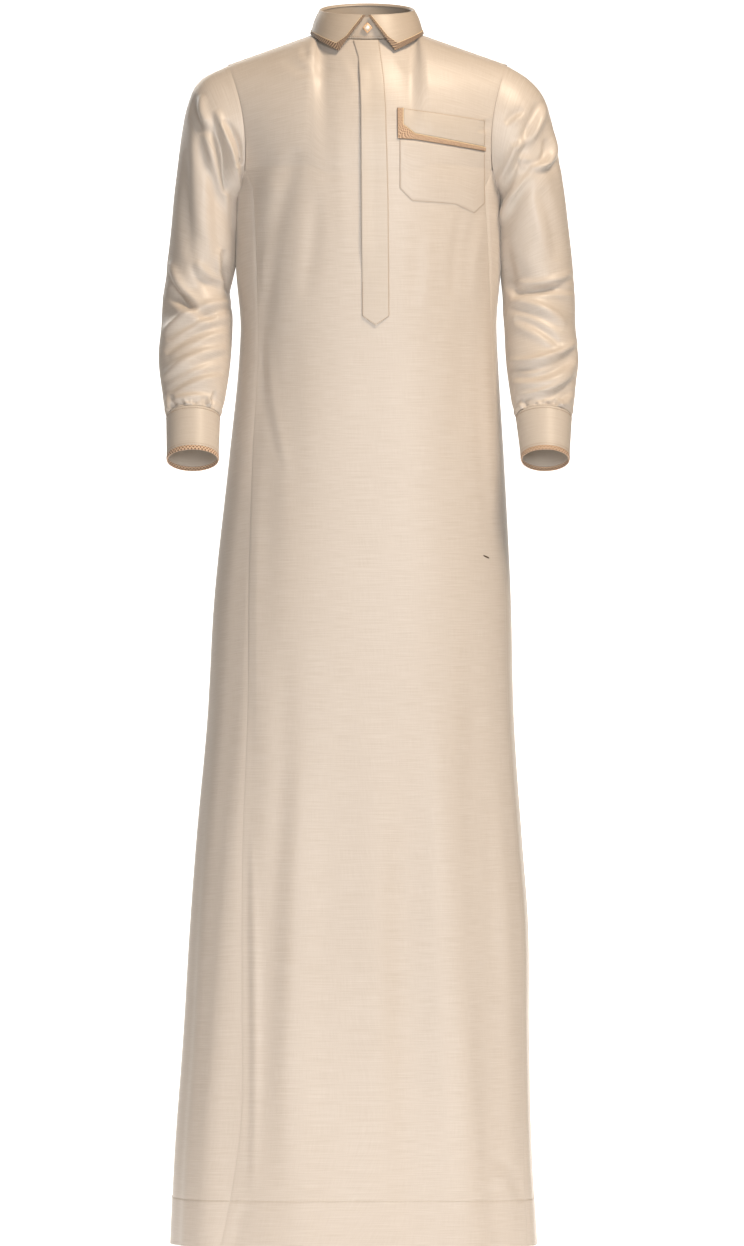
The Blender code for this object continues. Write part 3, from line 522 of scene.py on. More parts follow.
@dataclass
class BodyForm:
    """The worn shape of the front, back, sides and gussets, which meet the sleeves' armholes."""

    sleeves: dict[Side, "SleeveForm"]
    front_folds: FoldSet = field(default_factory=lambda: FoldSet(FRONT_FOLDS))
    back_folds: FoldSet = field(default_factory=lambda: FoldSet(BACK_FOLDS))
    fold_onset: float = 1.4
    chest_power: float = 1.8
    chest_bulge: float = 0.012
    edge_reach: int = 5
    shoulder_round: float = 0.85
    neck_round: float = 0.15
    round_start: float = 0.24
    round_span: float = 0.20
    shoulder_share: float = 0.30
    neck_width: float = 0.0660
    neck_front: float = 0.0600
    neck_back: float = 0.0580
    neck_z_front: float = -0.0075
    neck_z_side: float = 0.0030
    neck_z_back: float = 0.0150
    gusset_low_z: float = -0.345
    gusset_drop: float = 0.018
    chest_width: float = 0.36
    seam_depth: float = 0.0005
    seam_reach: float = 0.012
    plain_side: float = 0.045
    plain_top: float = 0.10
    hem_step: float = 0.0003
    hem_groove: float = 0.0003
    hem_groove_width: float = 0.0015
    underarm_swell: float = 0.0090
    underarm_power: float = 0.8
    underarm_top_z: float = -0.150
    underarm_rise: float = 0.06
    underarm_low_z: float = -0.400
    underarm_fade: float = 0.10
    place_steps: int = 7
    place_margin: float = 0.01
    first_margin: float = 0.05

    def size(self, name: str, z: Array) -> Array:
        """A named half size at height z."""
        return smooth(z, column(BODY_ROWS, BODY_COLUMNS, "z"), column(BODY_ROWS, BODY_COLUMNS, name))

    def seam_angle(self, name: str, z: Array) -> Array:
        """A named seam's angle from the front middle at height z."""
        heights = column(SEAM_ROWS, SEAM_COLUMNS, "z")
        share = smooth(z, heights, column(SEAM_ROWS, SEAM_COLUMNS, name))
        angle = np.arcsin(share ** (self.size("square", z) / 2))
        if name.startswith("back"):
            angle = math.pi - angle
        return -angle if name.endswith("right") else angle

    def long_folds(self, angle: Array, z: Array) -> Array:
        """The push of the skirt's long folds."""
        push = np.zeros(np.broadcast(angle, z).shape)
        for degrees, z_top, z_low, lean, width, depth in LONG_FOLD_ROWS:
            down = np.clip((z_top - z) / (z_top - z_low), 0, 1)
            middle = np.radians(degrees + lean * down)
            away = (angle - middle + math.pi) % (2 * math.pi) - math.pi
            strength = np.sin(np.minimum(down * self.fold_onset, 1.0) * math.pi / 2) ** 2
            push = push + depth * strength * np.exp(-((away / np.radians(width)) ** 2))
        return push

    def ring(self, angle: Array, z: Array) -> Array:
        """A point of the body below the chest line."""
        sine, cosine = np.sin(angle), np.cos(angle)
        power = 2 / self.size("square", z)
        half_width = np.where(sine < 0, self.size("right", z), self.size("left", z))
        half_depth = np.where(cosine > 0, self.size("front", z), self.size("back", z))
        x = np.sign(sine) * np.abs(sine) ** power * half_width
        y = -np.sign(cosine) * np.abs(cosine) ** power * half_depth
        push = self.long_folds(angle, z)
        return np.stack([x + push * sine, y - push * cosine, z + 0 * x], -1)

    def neckline(self, angle: Array) -> Array:
        """A point of the neckline: angle 0 in front, positive to the wearer's left."""
        front = np.cos(angle) > 0
        depth = np.where(front, self.neck_front, self.neck_back)
        level = np.where(front, self.neck_z_front, self.neck_z_back) - self.neck_z_side
        height = self.neck_z_side + level * np.abs(np.cos(angle))
        return np.stack([self.neck_width * np.sin(angle), -depth * np.cos(angle), height], -1)

    def top_edge(self, across: Array, back: bool) -> Array:
        """The upper edge of the front or back: shoulder, neckline, shoulder."""
        share = np.clip((across - self.shoulder_share) / (1 - 2 * self.shoulder_share), 0, 1)
        angle = (share - 0.5) * math.pi
        if back:
            angle = math.pi - angle
        edge = self.neckline(angle)
        for side, run in ((Side.RIGHT, across), (Side.LEFT, 1 - across)):
            tip = self.sleeves[side].base(np.zeros(1), np.zeros(1))[0]
            neck = self.neckline(np.array(side.sign * math.pi / 2))
            part = np.clip(run / self.shoulder_share, 0, 1)[..., None]
            edge = np.where(run[..., None] < self.shoulder_share, tip + (neck - tip) * part, edge)
        return edge

    def armhole_edge(self, side: Side, up: Array, back: bool) -> Array:
        """A panel's side above the chest line: a short seam, then the armhole."""
        name = ("back_" if back else "front_") + side.value
        foot = self.ring(self.seam_angle(name, np.array(CHEST_Z)), np.array(CHEST_Z))
        rise = np.sin(np.clip(up, SEAM_SHARE, 1) * math.pi / 2)
        turn = np.arccos(np.clip(2 * rise - 1, -1, 1))
        turn = -turn if back else turn
        arc = self.sleeves[side].base(turn, np.zeros_like(turn))
        corner = np.array([-ARMHOLE_ARC if back else ARMHOLE_ARC])
        start = self.sleeves[side].base(corner, np.zeros(1))[0]
        part = np.clip(up / SEAM_SHARE, 0, 1)[..., None]
        return np.where(up[..., None] < SEAM_SHARE, foot + (start - foot) * part, arc)

    def chest(self, across: Array, up: Array, back: bool) -> Array:
        """The chest or the upper back, spanned between its four edges."""
        names = ("back_right", "back_left") if back else ("front_right", "front_left")
        first = self.seam_angle(names[0], np.array(CHEST_Z)) + (2 * math.pi if back else 0)
        last = self.seam_angle(names[1], np.array(CHEST_Z))
        angle = first + (last - first) * across
        low = self.ring(angle, np.full_like(angle, CHEST_Z))
        top = self.top_edge(across, back)
        edges = [self.armhole_edge(side, up, back) for side in (Side.RIGHT, Side.LEFT)]
        ends = np.zeros(1), np.ones(1)
        corner_low = [self.armhole_edge(side, ends[0], back)[0] for side in (Side.RIGHT, Side.LEFT)]
        corner_top = [self.top_edge(end, back)[0] for end in ends]
        outward = np.clip((np.abs(2 * across - 1) - self.round_start) / self.round_span, 0, 1)
        outward = outward**2 * (3 - 2 * outward)
        round_top = self.shoulder_round * outward + self.neck_round
        rise, reach = np.sin(up * math.pi / 2), 1 - np.cos(up * math.pi / 2)
        plain = up**self.chest_power
        weight = np.stack([up, plain + (reach - plain) * round_top, up + (rise - up) * round_top], -1)
        edge_weight = np.stack([up, reach, rise], -1)
        patch = (1 - weight) * low + weight * top
        share = across[..., None]
        nearness = (1 - share, share)
        for edge, near, low_corner, top_corner in zip(edges, nearness, corner_low, corner_top):
            straight = (1 - edge_weight) * low_corner + edge_weight * top_corner
            patch = patch + near**self.edge_reach * (edge - straight)
        swell = self.chest_bulge * np.sin(math.pi * up) * up * (1 - (2 * across - 1) ** 2)
        patch[..., 1] += swell if back else -swell
        return patch

    def base(self, across: Array, up: Array, back: bool = False) -> Array:
        """The front or back without small folds.

        Args:
            across: 0 at the right seam, 1 at the left seam.
            up: 0 at the hem, 1 at the chest line, 2 at the shoulders and neck.
            back: the back panel instead of the front.

        Returns:
            The points.
        """
        names = ("back_right", "back_left") if back else ("front_right", "front_left")
        z = HEM_Z + (CHEST_Z - HEM_Z) * np.clip(up, 0, 1)
        first = self.seam_angle(names[0], z) + (2 * math.pi if back else 0)
        last = self.seam_angle(names[1], z)
        lower = self.ring(first + (last - first) * across, z)
        upper = self.chest(across, np.clip(up - 1, 0, 1), back)
        return np.where(up[..., None] <= 1, lower, upper)

    def front(self, across: Array, up: Array) -> Array:
        """The front with its folds."""
        return self.folded(across, up, False)

    def back(self, across: Array, up: Array) -> Array:
        """The back with its folds."""
        return self.folded(across, up, True)

    def folded(self, across: Array, up: Array, back: bool) -> Array:
        """The front or back with its small folds, its rolled seam edges and its double hem."""
        point = self.base(across, up, back)
        up_inside = np.clip(up, INSIDE, 2 - INSIDE)
        normal = unit_normal(lambda a, u: self.base(a, u, back), across, up_inside)
        folds = self.back_folds if back else self.front_folds
        hold = np.clip(np.minimum(across, 1 - across) / self.plain_side, 0, 1)
        top = np.clip((2 - up) / self.plain_top, 0, 1)
        push = folds.push(point[..., 0], point[..., 2]) * hold * top
        push = push + self.seam_roll(across, self.seam_reach) + self.hem_push(point[..., 2])
        return point + normal * push[..., None]

    def underarm(self, across: Array, z: Array) -> Array:
        """How far the cloth under the arm stands out towards the sleeve."""
        rise = np.clip((self.underarm_top_z - z) / self.underarm_rise, 0, 1)
        fade = np.clip((z - self.underarm_low_z) / self.underarm_fade, 0, 1)
        swell = self.underarm_swell * np.sin(math.pi * np.clip(across, 0, 1)) ** self.underarm_power
        return swell * rise * fade**2 * (3 - 2 * fade)

    def seam_roll(self, share: Array, reach: float) -> Array:
        """How far a seam's edges turn in: full depth at share 0 or 1, nothing past reach."""
        near = np.clip(np.minimum(share, 1 - share) / reach, 0, 1)
        return -self.seam_depth * (1 - near) ** 2

    def hem_push(self, z: Array) -> Array:
        """How far the cloth stands out where the hem is double, with a groove at its stitches."""
        off = (z - HEM_FOLD_Z) / self.hem_groove_width
        return self.hem_step * np.clip(-off, 0, 1) - self.hem_groove * np.exp(-(off**2))

    def side(self, side: Side, across: Array, z: Array) -> Array:
        """The side: across 0 at the front seam, 1 at the back seam."""
        first = self.seam_angle("front_" + side.value, z)
        last = self.seam_angle("back_" + side.value, z)
        return self.ring(first + (last - first) * across, z)

    def gusset_low(self, across: Array) -> Array:
        """The height of the gusset's pointed lower edge."""
        return self.gusset_low_z - self.gusset_drop * (1 - np.abs(2 * across - 1))

    def gusset(self, side: Side, across: Array, up: Array) -> Array:
        """The gusset: up 0 at its lower edge, 1 at the chest line, 2 at the armhole."""
        low = self.gusset_low(across)
        lower = self.side(side, across, low + (CHEST_Z - low) * np.clip(up, 0, 1))
        turn = ARMHOLE_ARC + (2 * math.pi - 2 * ARMHOLE_ARC) * across
        rim = self.sleeves[side].base(turn, np.zeros_like(turn))
        part = np.clip(up - 1, 0, 1)[..., None]
        return lower + (rim - lower) * part

    def place_on_front(self, x: Array, z: Array) -> tuple[Array, Array]:
        """The front's own place, across and up, of the point that shows at x and z."""
        across = np.clip(0.5 + x / self.chest_width, self.first_margin, 1 - self.first_margin)
        below = (z - HEM_Z) / (CHEST_Z - HEM_Z)
        up = np.where(z < CHEST_Z, below, 1 + (z - CHEST_Z) / (-CHEST_Z))
        step, margin = SLOPE_STEP, self.place_margin
        for _ in range(self.place_steps):
            here = self.base(across, up)
            along_across = (self.base(across + step, up) - here) / step
            along_up = (self.base(across, up + step) - here) / step
            miss_x, miss_z = x - here[..., 0], z - here[..., 2]
            spread = along_across[..., 0] * along_up[..., 2] - along_up[..., 0] * along_across[..., 2]
            move = (miss_x * along_up[..., 2] - miss_z * along_up[..., 0]) / spread
            lift = (miss_z * along_across[..., 0] - miss_x * along_across[..., 2]) / spread
            across = np.clip(across + move, margin, 1 - margin)
            up = np.clip(up + lift, margin, 2 - margin)
        return across, up

    def on_front(self, x: Array, z: Array, lift: Array | float) -> Array:
        """A point over the front cloth at x and z, lifted off it."""
        across, up = self.place_on_front(x, z)
        point = self.front(across, up)
        normal = unit_normal(self.base, across, up)
        return point + normal * np.broadcast_to(lift, x.shape)[..., None]


@dataclass
class SleeveForm:
    """The worn shape of one sleeve and its cuff."""

    side: Side
    rows: Sequence[Sequence[float]]
    folds: FoldSet
    cuff_rows: Sequence[Sequence[float]]
    cuff_tilt: float = math.radians(26)
    slant_unit: float = 40.0
    crease_start: float = 2.0
    crease_end: float = 1.5
    facing_gain: float = 1.6
    facing_start: float = 0.35
    behind_start: float = 0.1
    behind_strength: float = 0.6
    behind_shift: float = 0.013
    plain_armhole: float = 0.35
    plain_cuff: float = 0.10

    @property
    def last(self) -> int:
        """The number of the last section."""
        return len(self.rows) - 1

    def base(self, turn: Array, along: Array) -> Array:
        """A point without small folds: turn is 0 on the outer edge, 90 degrees in front."""
        stations = np.arange(len(self.rows))
        tables = {name: column(self.rows, SLEEVE_COLUMNS, name) for name in SLEEVE_COLUMNS}
        size = {name: smooth(along, stations, values) for name, values in tables.items()}
        middle_x = (size["outer_x"] + size["inner_x"]) / 2
        middle_z = (size["outer_z"] + size["inner_z"]) / 2
        across_x = (size["outer_x"] - size["inner_x"]) / 2
        across_z = (size["outer_z"] - size["inner_z"]) / 2
        push = self.creases(turn, along)
        swell = 1 + push / np.hypot(across_x, across_z)
        depth = size["depth"] + push
        tilt = np.radians(size["tilt"])
        scoop = size["scoop"] * np.sin(turn) ** 2
        x = middle_x + across_x * np.cos(turn) * swell - scoop
        y = size["y"] - depth * np.sin(turn) * np.cos(tilt)
        z = middle_z + across_z * np.cos(turn) * swell + depth * np.sin(turn) * np.sin(tilt)
        return np.stack([self.side.sign * x, y + 0 * x, z], -1)

    def creases(self, turn: Array, along: Array) -> Array:
        """The push of the sleeve's largest creases."""
        push = np.zeros(np.broadcast(along, turn).shape)
        for place, degrees, slant, width, spread, depth in CREASE_ROWS:
            away = (turn - math.radians(degrees) + math.pi) % (2 * math.pi) - math.pi
            off = along - place - away * slant / self.slant_unit
            push = push + depth * np.exp(-((off / width) ** 2) - (away / math.radians(spread)) ** 2)
        start = np.clip(along / self.crease_start, 0, 1)
        return push * start * np.clip((self.last - along) * self.crease_end, 0, 1)

    def cloth(self, turn: Array, along: Array) -> Array:
        """A point of the sleeve with its folds; the back has the same ones, softer."""
        point = self.base(turn, along)
        normal = unit_normal(self.base, turn, along) * self.side.sign
        facing = np.clip(-normal[..., 1] * self.facing_gain + self.facing_start, 0, 1)
        behind = np.clip(normal[..., 1] * self.facing_gain + self.behind_start, 0, 1)
        behind = behind * self.behind_strength
        ends = np.clip(along / self.plain_armhole, 0, 1)
        ends = ends * np.clip((self.last - along) / self.plain_cuff, 0, 1)
        shifted = point[..., 2] + self.behind_shift
        push = self.folds.push(point[..., 0], point[..., 2]) * facing
        push = push + self.folds.push(point[..., 0], shifted) * behind
        return point + normal * (push * ends)[..., None]

    def cuff(self, turn: Array, down: Array, inset: float = 0.0) -> Array:
        """A point of the cuff: down 0 at the sleeve, 1 at the wrist edge."""
        ends = zip(CUFF_COLUMNS, *self.cuff_rows)
        size = {name: top + (low - top) * down for name, top, low in ends}
        depth = (size["depth"] - inset) * np.sin(turn)
        x = size["x"] + (size["half_width"] - inset) * np.cos(turn)
        y = size["y"] - depth * math.cos(self.cuff_tilt)
        z = size["z"] + depth * math.sin(self.cuff_tilt)
        return np.stack([self.side.sign * x, y, z], -1)


@dataclass
class CollarForm:
    """The worn shape of the collar's stand and leaf."""

    body: BodyForm
    foot: float = 0.0010
    top_inset: float = 0.0040
    top_front: float = 0.0225
    top_side: float = 0.0310
    top_back: float = 0.0420
    start: float = math.radians(-17.5)
    leaf_top: tuple[float, float, float] = (0.0644, 0.0589, 0.0569)
    leaf_low: tuple[float, float, float] = (0.0745, 0.0800, 0.0800)
    leaf_rise: float = 0.0025

    def height(self, angle: Array) -> Array:
        """The height of the stand's top edge round the neck."""
        level = np.where(np.cos(angle) > 0, self.top_front, self.top_back) - self.top_side
        return self.top_side + level * np.abs(np.cos(angle))

    def stand(self, angle: Array, up: Array) -> Array:
        """A point of the stand: up 0 on the neckline, 1 on its top edge."""
        base = self.body.neckline(angle)
        scale = 1 - self.top_inset / self.body.neck_width
        top = np.stack([base[..., 0] * scale, base[..., 1] * scale, self.height(angle)], -1)
        foot = base + np.array([0, 0, self.foot])
        return foot + (top - foot) * up[..., None]

    def leaf(self, around: Array, down: Array) -> Array:
        """A point of the leaf: around 0 at its right front edge, 1 at its left; down 0 at the fold."""
        half = 1 - np.abs(2 * around - 1)
        left = around > 0.5
        sign = np.where(left, 1.0, -1.0)
        along = column(LEAF_RIGHT, LEAF_COLUMNS, "along")
        place = {}
        for name in LEAF_COLUMNS[1:]:
            of_right = smooth(half, along, column(LEAF_RIGHT, LEAF_COLUMNS, name))
            of_left = smooth(half, along, column(LEAF_LEFT, LEAF_COLUMNS, name))
            place[name] = np.where(left, of_left, of_right)
        top_angle, low_angle = np.radians(place["top"]), np.radians(place["low"])
        width, front, back = self.leaf_top
        top_depth = np.where(np.cos(top_angle) > 0, front, back)
        top_z = self.height(top_angle) + self.leaf_rise
        top_x, top_y = sign * width * np.sin(top_angle), -top_depth * np.cos(top_angle)
        top = np.stack([top_x, top_y, top_z], -1)
        width, front, back = self.leaf_low
        low_depth = np.where(np.cos(low_angle) > 0, front, back)
        low_x, low_y = sign * width * np.sin(low_angle), -low_depth * np.cos(low_angle)
        low = np.stack([low_x, low_y, place["low_z"]], -1)
        return top + (low - top) * down[..., None]


@dataclass(frozen=True)
class Nodes:
    """A material's node tree, with a short way to add and join nodes."""

    material: Material

    @classmethod
    def new(cls, name: str) -> "Nodes":
        """Starts an empty material with one Principled shader."""
        material = bpy.data.materials.new(name)
        material.use_nodes = True
        return cls(material)

    @property
    def shader(self) -> bpy.types.Node:
        """The Principled shader."""
        return self.material.node_tree.nodes["Principled BSDF"]

    def add(self, kind: str, **settings: object) -> bpy.types.Node:
        """Adds a node and sets its properties."""
        node = self.material.node_tree.nodes.new(kind)
        for name, value in settings.items():
            setattr(node, name, value)
        return node

    def join(self, source: Socket, target: Socket) -> None:
        """Joins an output to an input."""
        self.material.node_tree.links.new(source, target)

    def calc(self, kind: str, first: object, second: object = 0.0) -> Socket:
        """A Math node of two sockets or numbers, and its output."""
        node = self.add("ShaderNodeMath", operation=kind)
        for slot, value in enumerate((first, second)):
            if isinstance(value, Socket):
                self.join(value, node.inputs[slot])
            else:
                node.inputs[slot].default_value = value
        return node.outputs[0]

    def blend(self, parts: Sequence[tuple[Socket, float]]) -> Socket:
        """The sum of sockets, each times its share."""
        total = None
        for socket, share in parts:
            part = self.calc("MULTIPLY", socket, share)
            total = part if total is None else self.calc("ADD", total, part)
        return total

    def ramp(self, factor: Socket, stops: Sequence[Stop]) -> Socket:
        """A colour ramp over a factor, and its colour output."""
        node = self.add("ShaderNodeValToRGB")
        points = node.color_ramp.elements
        while len(points) < len(stops):
            points.new(0.5)
        for point, (place, colour) in zip(points, stops):
            point.position = place
            point.color = (*colour, 1.0)
        self.join(factor, node.inputs["Fac"])
        return node.outputs["Color"]

    def noise(self, vector: Socket, stretch: Sequence[float],
              detail: float) -> Socket:
        """Noise whose grains are as many a metre as stretch says, and its factor output."""
        mapping = self.add("ShaderNodeMapping")
        mapping.inputs["Scale"].default_value = stretch
        self.join(vector, mapping.inputs["Vector"])
        node = self.add("ShaderNodeTexNoise")
        node.inputs["Scale"].default_value = 1.0
        node.inputs["Detail"].default_value = detail
        self.join(mapping.outputs["Vector"], node.inputs["Vector"])
        return node.outputs["Fac"]

    def bump(self, height: Socket, strength: float,
             distance: float) -> Socket:
        """A Bump node over a height, and its normal output."""
        node = self.add("ShaderNodeBump")
        node.inputs["Strength"].default_value = strength
        node.inputs["Distance"].default_value = distance
        self.join(height, node.inputs["Height"])
        return node.outputs["Normal"]

    def settle(self, colour: Socket, normal: Socket | None,
               constants: dict[str, float | tuple[float, ...]]) -> Material:
        """Joins a colour and a bump to the shader and sets its constants.

        Args:
            colour: the base colour.
            normal: the bump's normal, or none.
            constants: the shader's own sockets by name.

        Returns:
            The finished material.
        """
        self.join(colour, self.shader.inputs["Base Color"])
        if normal is not None:
            self.join(normal, self.shader.inputs["Normal"])
        for name, value in constants.items():
            self.shader.inputs[name].default_value = value
        return self.material


@dataclass(frozen=True)
class ClothFinish:
    """Fine plain cloth with slubs along the weft and a soft sheen."""

    name: str
    light: Colour
    dark: Colour
    roughness: float = 0.40
    sheen: float = 0.5
    sheen_roughness: float = 0.35
    sheen_tint: Colour = (1.0, 0.97, 0.92)
    specular: float = 0.42
    slubs: tuple[float, float, float] = (22.0, 820.0, 1.0)
    warp: tuple[float, float, float] = (900.0, 40.0, 1.0)
    clouds: tuple[float, float, float] = (5.0, 5.0, 3.0)
    threads: tuple[float, float, float] = (1500.0, 1500.0, 1.0)
    tone_shares: tuple[float, float, float, float] = (0.52, 0.20, 0.18, 0.10)
    dark_stop: float = 0.34
    light_stop: float = 0.62
    weave_shares: tuple[float, float] = (0.6, 0.4)
    bump_strength: float = 0.25
    bump_depth: float = 0.0004

    def build(self) -> Material:
        """Makes the material: slubs and a faint warp in the colour, threads in the bump."""
        tree = Nodes.new(self.name)
        uv = tree.add("ShaderNodeUVMap", uv_map="UVMap").outputs["UV"]
        place = tree.add("ShaderNodeTexCoord").outputs["Object"]
        slub = tree.noise(uv, self.slubs, 3.0)
        warp = tree.noise(uv, self.warp, 2.0)
        cloud = tree.noise(place, self.clouds, 2.0)
        fine = tree.noise(uv, self.threads, 1.0)
        mixed = tree.blend(list(zip((slub, warp, cloud, fine), self.tone_shares)))
        tone = tree.ramp(mixed, ((self.dark_stop, self.dark), (self.light_stop, self.light)))
        weave = tree.blend(list(zip((slub, fine), self.weave_shares)))
        return tree.settle(tone, tree.bump(weave, self.bump_strength, self.bump_depth), {
            "Roughness": self.roughness,
            "Sheen Weight": self.sheen,
            "Sheen Roughness": self.sheen_roughness,
            "Sheen Tint": (*self.sheen_tint, 1.0),
            "Specular IOR Level": self.specular,
        })


class Weave(Enum):
    """The two woven patterns of the edging."""

    TWILL = "twill"
    ZIGZAG = "zigzag"


@dataclass(frozen=True)
class EdgingFinish:
    """Narrow woven edging in brown and cream: a slanted twill or a zigzag."""

    name: str
    weave: Weave
    brown: Colour
    cream: Colour
    repeat: float = 0.0042
    slant: float = 0.9
    zigzag_gain: float = 1.4
    fibres: tuple[float, float, float] = (2200.0, 2200.0, 1.0)
    tone_shares: tuple[float, float] = (0.8, 0.2)
    brown_stop: float = 0.36
    cream_stop: float = 0.58
    bump_strength: float = 0.7
    bump_depth: float = 0.0005
    roughness: float = 0.62
    sheen: float = 0.2

    def ribs(self, tree: Nodes, place: Socket) -> Socket:
        """Slanted ribs that rise and fall from 0 to 1 along a place in metres."""
        phase = tree.calc("FRACT", tree.calc("DIVIDE", place, self.repeat))
        return tree.calc("MULTIPLY", tree.calc("ABSOLUTE", tree.calc("SUBTRACT", phase, 0.5)), 2.0)

    def build(self) -> Material:
        """Makes the material: stripes from the edging's own length and width."""
        tree = Nodes.new(self.name)
        uv = tree.add("ShaderNodeUVMap", uv_map="UVMap").outputs["UV"]
        parts = tree.add("ShaderNodeSeparateXYZ")
        tree.join(uv, parts.inputs["Vector"])
        along, across = parts.outputs["X"], parts.outputs["Y"]
        slanted = tree.calc("MULTIPLY", across, self.slant)
        rib = self.ribs(tree, tree.calc("ADD", along, slanted))
        if self.weave is Weave.ZIGZAG:
            other = self.ribs(tree, tree.calc("SUBTRACT", along, slanted))
            rib = tree.calc("MULTIPLY", tree.calc("MAXIMUM", rib, other), self.zigzag_gain)
            rib = tree.calc("SUBTRACT", rib, self.zigzag_gain - 1)
        fibre = tree.noise(uv, self.fibres, 2.0)
        tone = tree.blend(list(zip((rib, fibre), self.tone_shares)))
        colour = tree.ramp(tone, ((self.brown_stop, self.brown), (self.cream_stop, self.cream)))
        normal = tree.bump(tone, self.bump_strength, self.bump_depth)
        return tree.settle(colour, normal, {"Roughness": self.roughness, "Sheen Weight": self.sheen})


@dataclass(frozen=True)
class ThreadFinish:
    """Sewing thread or a thin cord, with a twist in its bump."""

    name: str
    colour: Colour
    shade: Colour
    grain: float = 1800.0
    bump_strength: float = 0.4
    bump_depth: float = 0.0002
    roughness: float = 0.5

    def build(self) -> Material:
        """Makes the material."""
        tree = Nodes.new(self.name)
        place = tree.add("ShaderNodeTexCoord").outputs["Object"]
        twist = tree.noise(place, (self.grain,) * 3, 1.0)
        tone = tree.ramp(twist, ((0.35, self.shade), (0.65, self.colour)))
        normal = tree.bump(twist, self.bump_strength, self.bump_depth)
        return tree.settle(tone, normal, {"Roughness": self.roughness})


@dataclass(frozen=True)
class PearlFinish:
    """The stud's milky face."""

    name: str = "pearl_face"
    milky: Colour = (0.62, 0.50, 0.39)
    pale: Colour = (0.76, 0.66, 0.54)
    grain: float = 260.0
    roughness: float = 0.16
    coat: float = 0.8
    coat_roughness: float = 0.05

    def build(self) -> Material:
        """Makes the material: soft clouds under a clear coat."""
        tree = Nodes.new(self.name)
        place = tree.add("ShaderNodeTexCoord").outputs["Object"]
        cloud = tree.noise(place, (self.grain,) * 3, 2.0)
        tone = tree.ramp(cloud, ((0.35, self.milky), (0.65, self.pale)))
        return tree.settle(tone, None, {
            "Roughness": self.roughness,
            "Coat Weight": self.coat,
            "Coat Roughness": self.coat_roughness,
        })


@dataclass(frozen=True)
class RimFinish:
    """The stud's gold-brown metal rim."""

    name: str = "stud_rim"
    brown: Colour = (0.42, 0.22, 0.10)
    worn: Colour = (0.66, 0.42, 0.24)
    grain: float = 700.0
    bump_strength: float = 0.15
    bump_depth: float = 0.0001
    metal: float = 0.85
    roughness: float = 0.32

    def build(self) -> Material:
        """Makes the material: brushed metal, worn a little lighter in places."""
        tree = Nodes.new(self.name)
        place = tree.add("ShaderNodeTexCoord").outputs["Object"]
        wear = tree.noise(place, (self.grain,) * 3, 3.0)
        tone = tree.ramp(wear, ((0.3, self.brown), (0.7, self.worn)))
        normal = tree.bump(wear, self.bump_strength, self.bump_depth)
        return tree.settle(tone, normal, {"Metallic": self.metal, "Roughness": self.roughness})


@dataclass(frozen=True)
class PaperFinish:
    """The pale floor and backdrop, which gives off a little light of its own."""

    name: str = "pale_paper"
    shade: Colour = (0.90, 0.90, 0.90)
    white: Colour = (0.93, 0.93, 0.93)
    grain: float = 0.6
    roughness: float = 0.9
    glow: float = 0.9

    def build(self) -> Material:
        """Makes the material: white paper with a faint unevenness."""
        tree = Nodes.new(self.name)
        place = tree.add("ShaderNodeTexCoord").outputs["Object"]
        cloud = tree.noise(place, (self.grain,) * 3, 1.0)
        tone = tree.ramp(cloud, ((0.3, self.shade), (0.7, self.white)))
        return tree.settle(tone, None, {
            "Roughness": self.roughness,
            "Emission Color": (1.0, 1.0, 1.0, 1.0),
            "Emission Strength": self.glow,
        })


class Wardrobe:
    """Every finish of the robe, built once."""

    def __init__(self) -> None:
        """Builds the finishes."""
        light, dark = (0.605, 0.537, 0.474), (0.520, 0.446, 0.377)
        self.cloth = ClothFinish("tan_cloth", light, dark).build()
        # The collar's cloth is the tan cloth made darker: painted shade for the lower light that falls
        # on the collar.
        light, dark = (0.505, 0.425, 0.348), (0.450, 0.368, 0.290)
        self.collar = ClothFinish("tan_collar_painted_shade", light, dark, sheen=0.3).build()
        light, dark = (0.570, 0.500, 0.432), (0.510, 0.436, 0.362)
        self.facing = ClothFinish("tan_facing", light, dark, sheen=0.4).build()
        brown, cream = (0.085, 0.050, 0.032), (0.400, 0.275, 0.185)
        self.twill = EdgingFinish("twill_edging", Weave.TWILL, brown, cream).build()
        brown, cream = (0.150, 0.072, 0.038), (0.660, 0.460, 0.310)
        self.zigzag = EdgingFinish("zigzag_edging", Weave.ZIGZAG, brown, cream, repeat=0.0048).build()
        self.thread = ThreadFinish("tan_thread", (0.42, 0.27, 0.16), (0.33, 0.20, 0.11)).build()
        self.pale_thread = ThreadFinish("pale_thread", (0.59, 0.50, 0.41), (0.52, 0.43, 0.34)).build()
        self.dark_thread = ThreadFinish("dark_thread", (0.10, 0.06, 0.035), (0.05, 0.03, 0.02)).build()
        self.cord = ThreadFinish("cream_cord", (0.90, 0.72, 0.46), (0.78, 0.58, 0.34)).build()
        self.pearl = PearlFinish().build()
        self.rim = RimFinish().build()


def deselect() -> None:
    """Deselects everything, the loaded frame too."""
    if bpy.context.object is not None and bpy.context.object.mode != "OBJECT":
        bpy.ops.object.mode_set(mode="OBJECT")
    bpy.ops.object.select_all(action="DESELECT")


def edit_all(piece: Piece) -> None:
    """Opens a piece in edit mode with all of it selected."""
    deselect()
    bpy.context.view_layer.objects.active = piece
    piece.select_set(True)
    bpy.ops.object.mode_set(mode="EDIT")
    bpy.ops.mesh.select_all(action="SELECT")


def remake(piece: Piece, name: str, places: Array, faces: Sequence) -> None:
    """Names a primitive and gives it other points and faces, turned outwards."""
    piece.name = piece.data.name = name
    edit_all(piece)
    bpy.ops.mesh.delete(type="VERT")
    bpy.ops.object.mode_set(mode="OBJECT")
    piece.data.from_pydata(places.tolist(), [], faces)
    edit_all(piece)
    bpy.ops.mesh.normals_make_consistent(inside=False)
    bpy.ops.object.mode_set(mode="OBJECT")


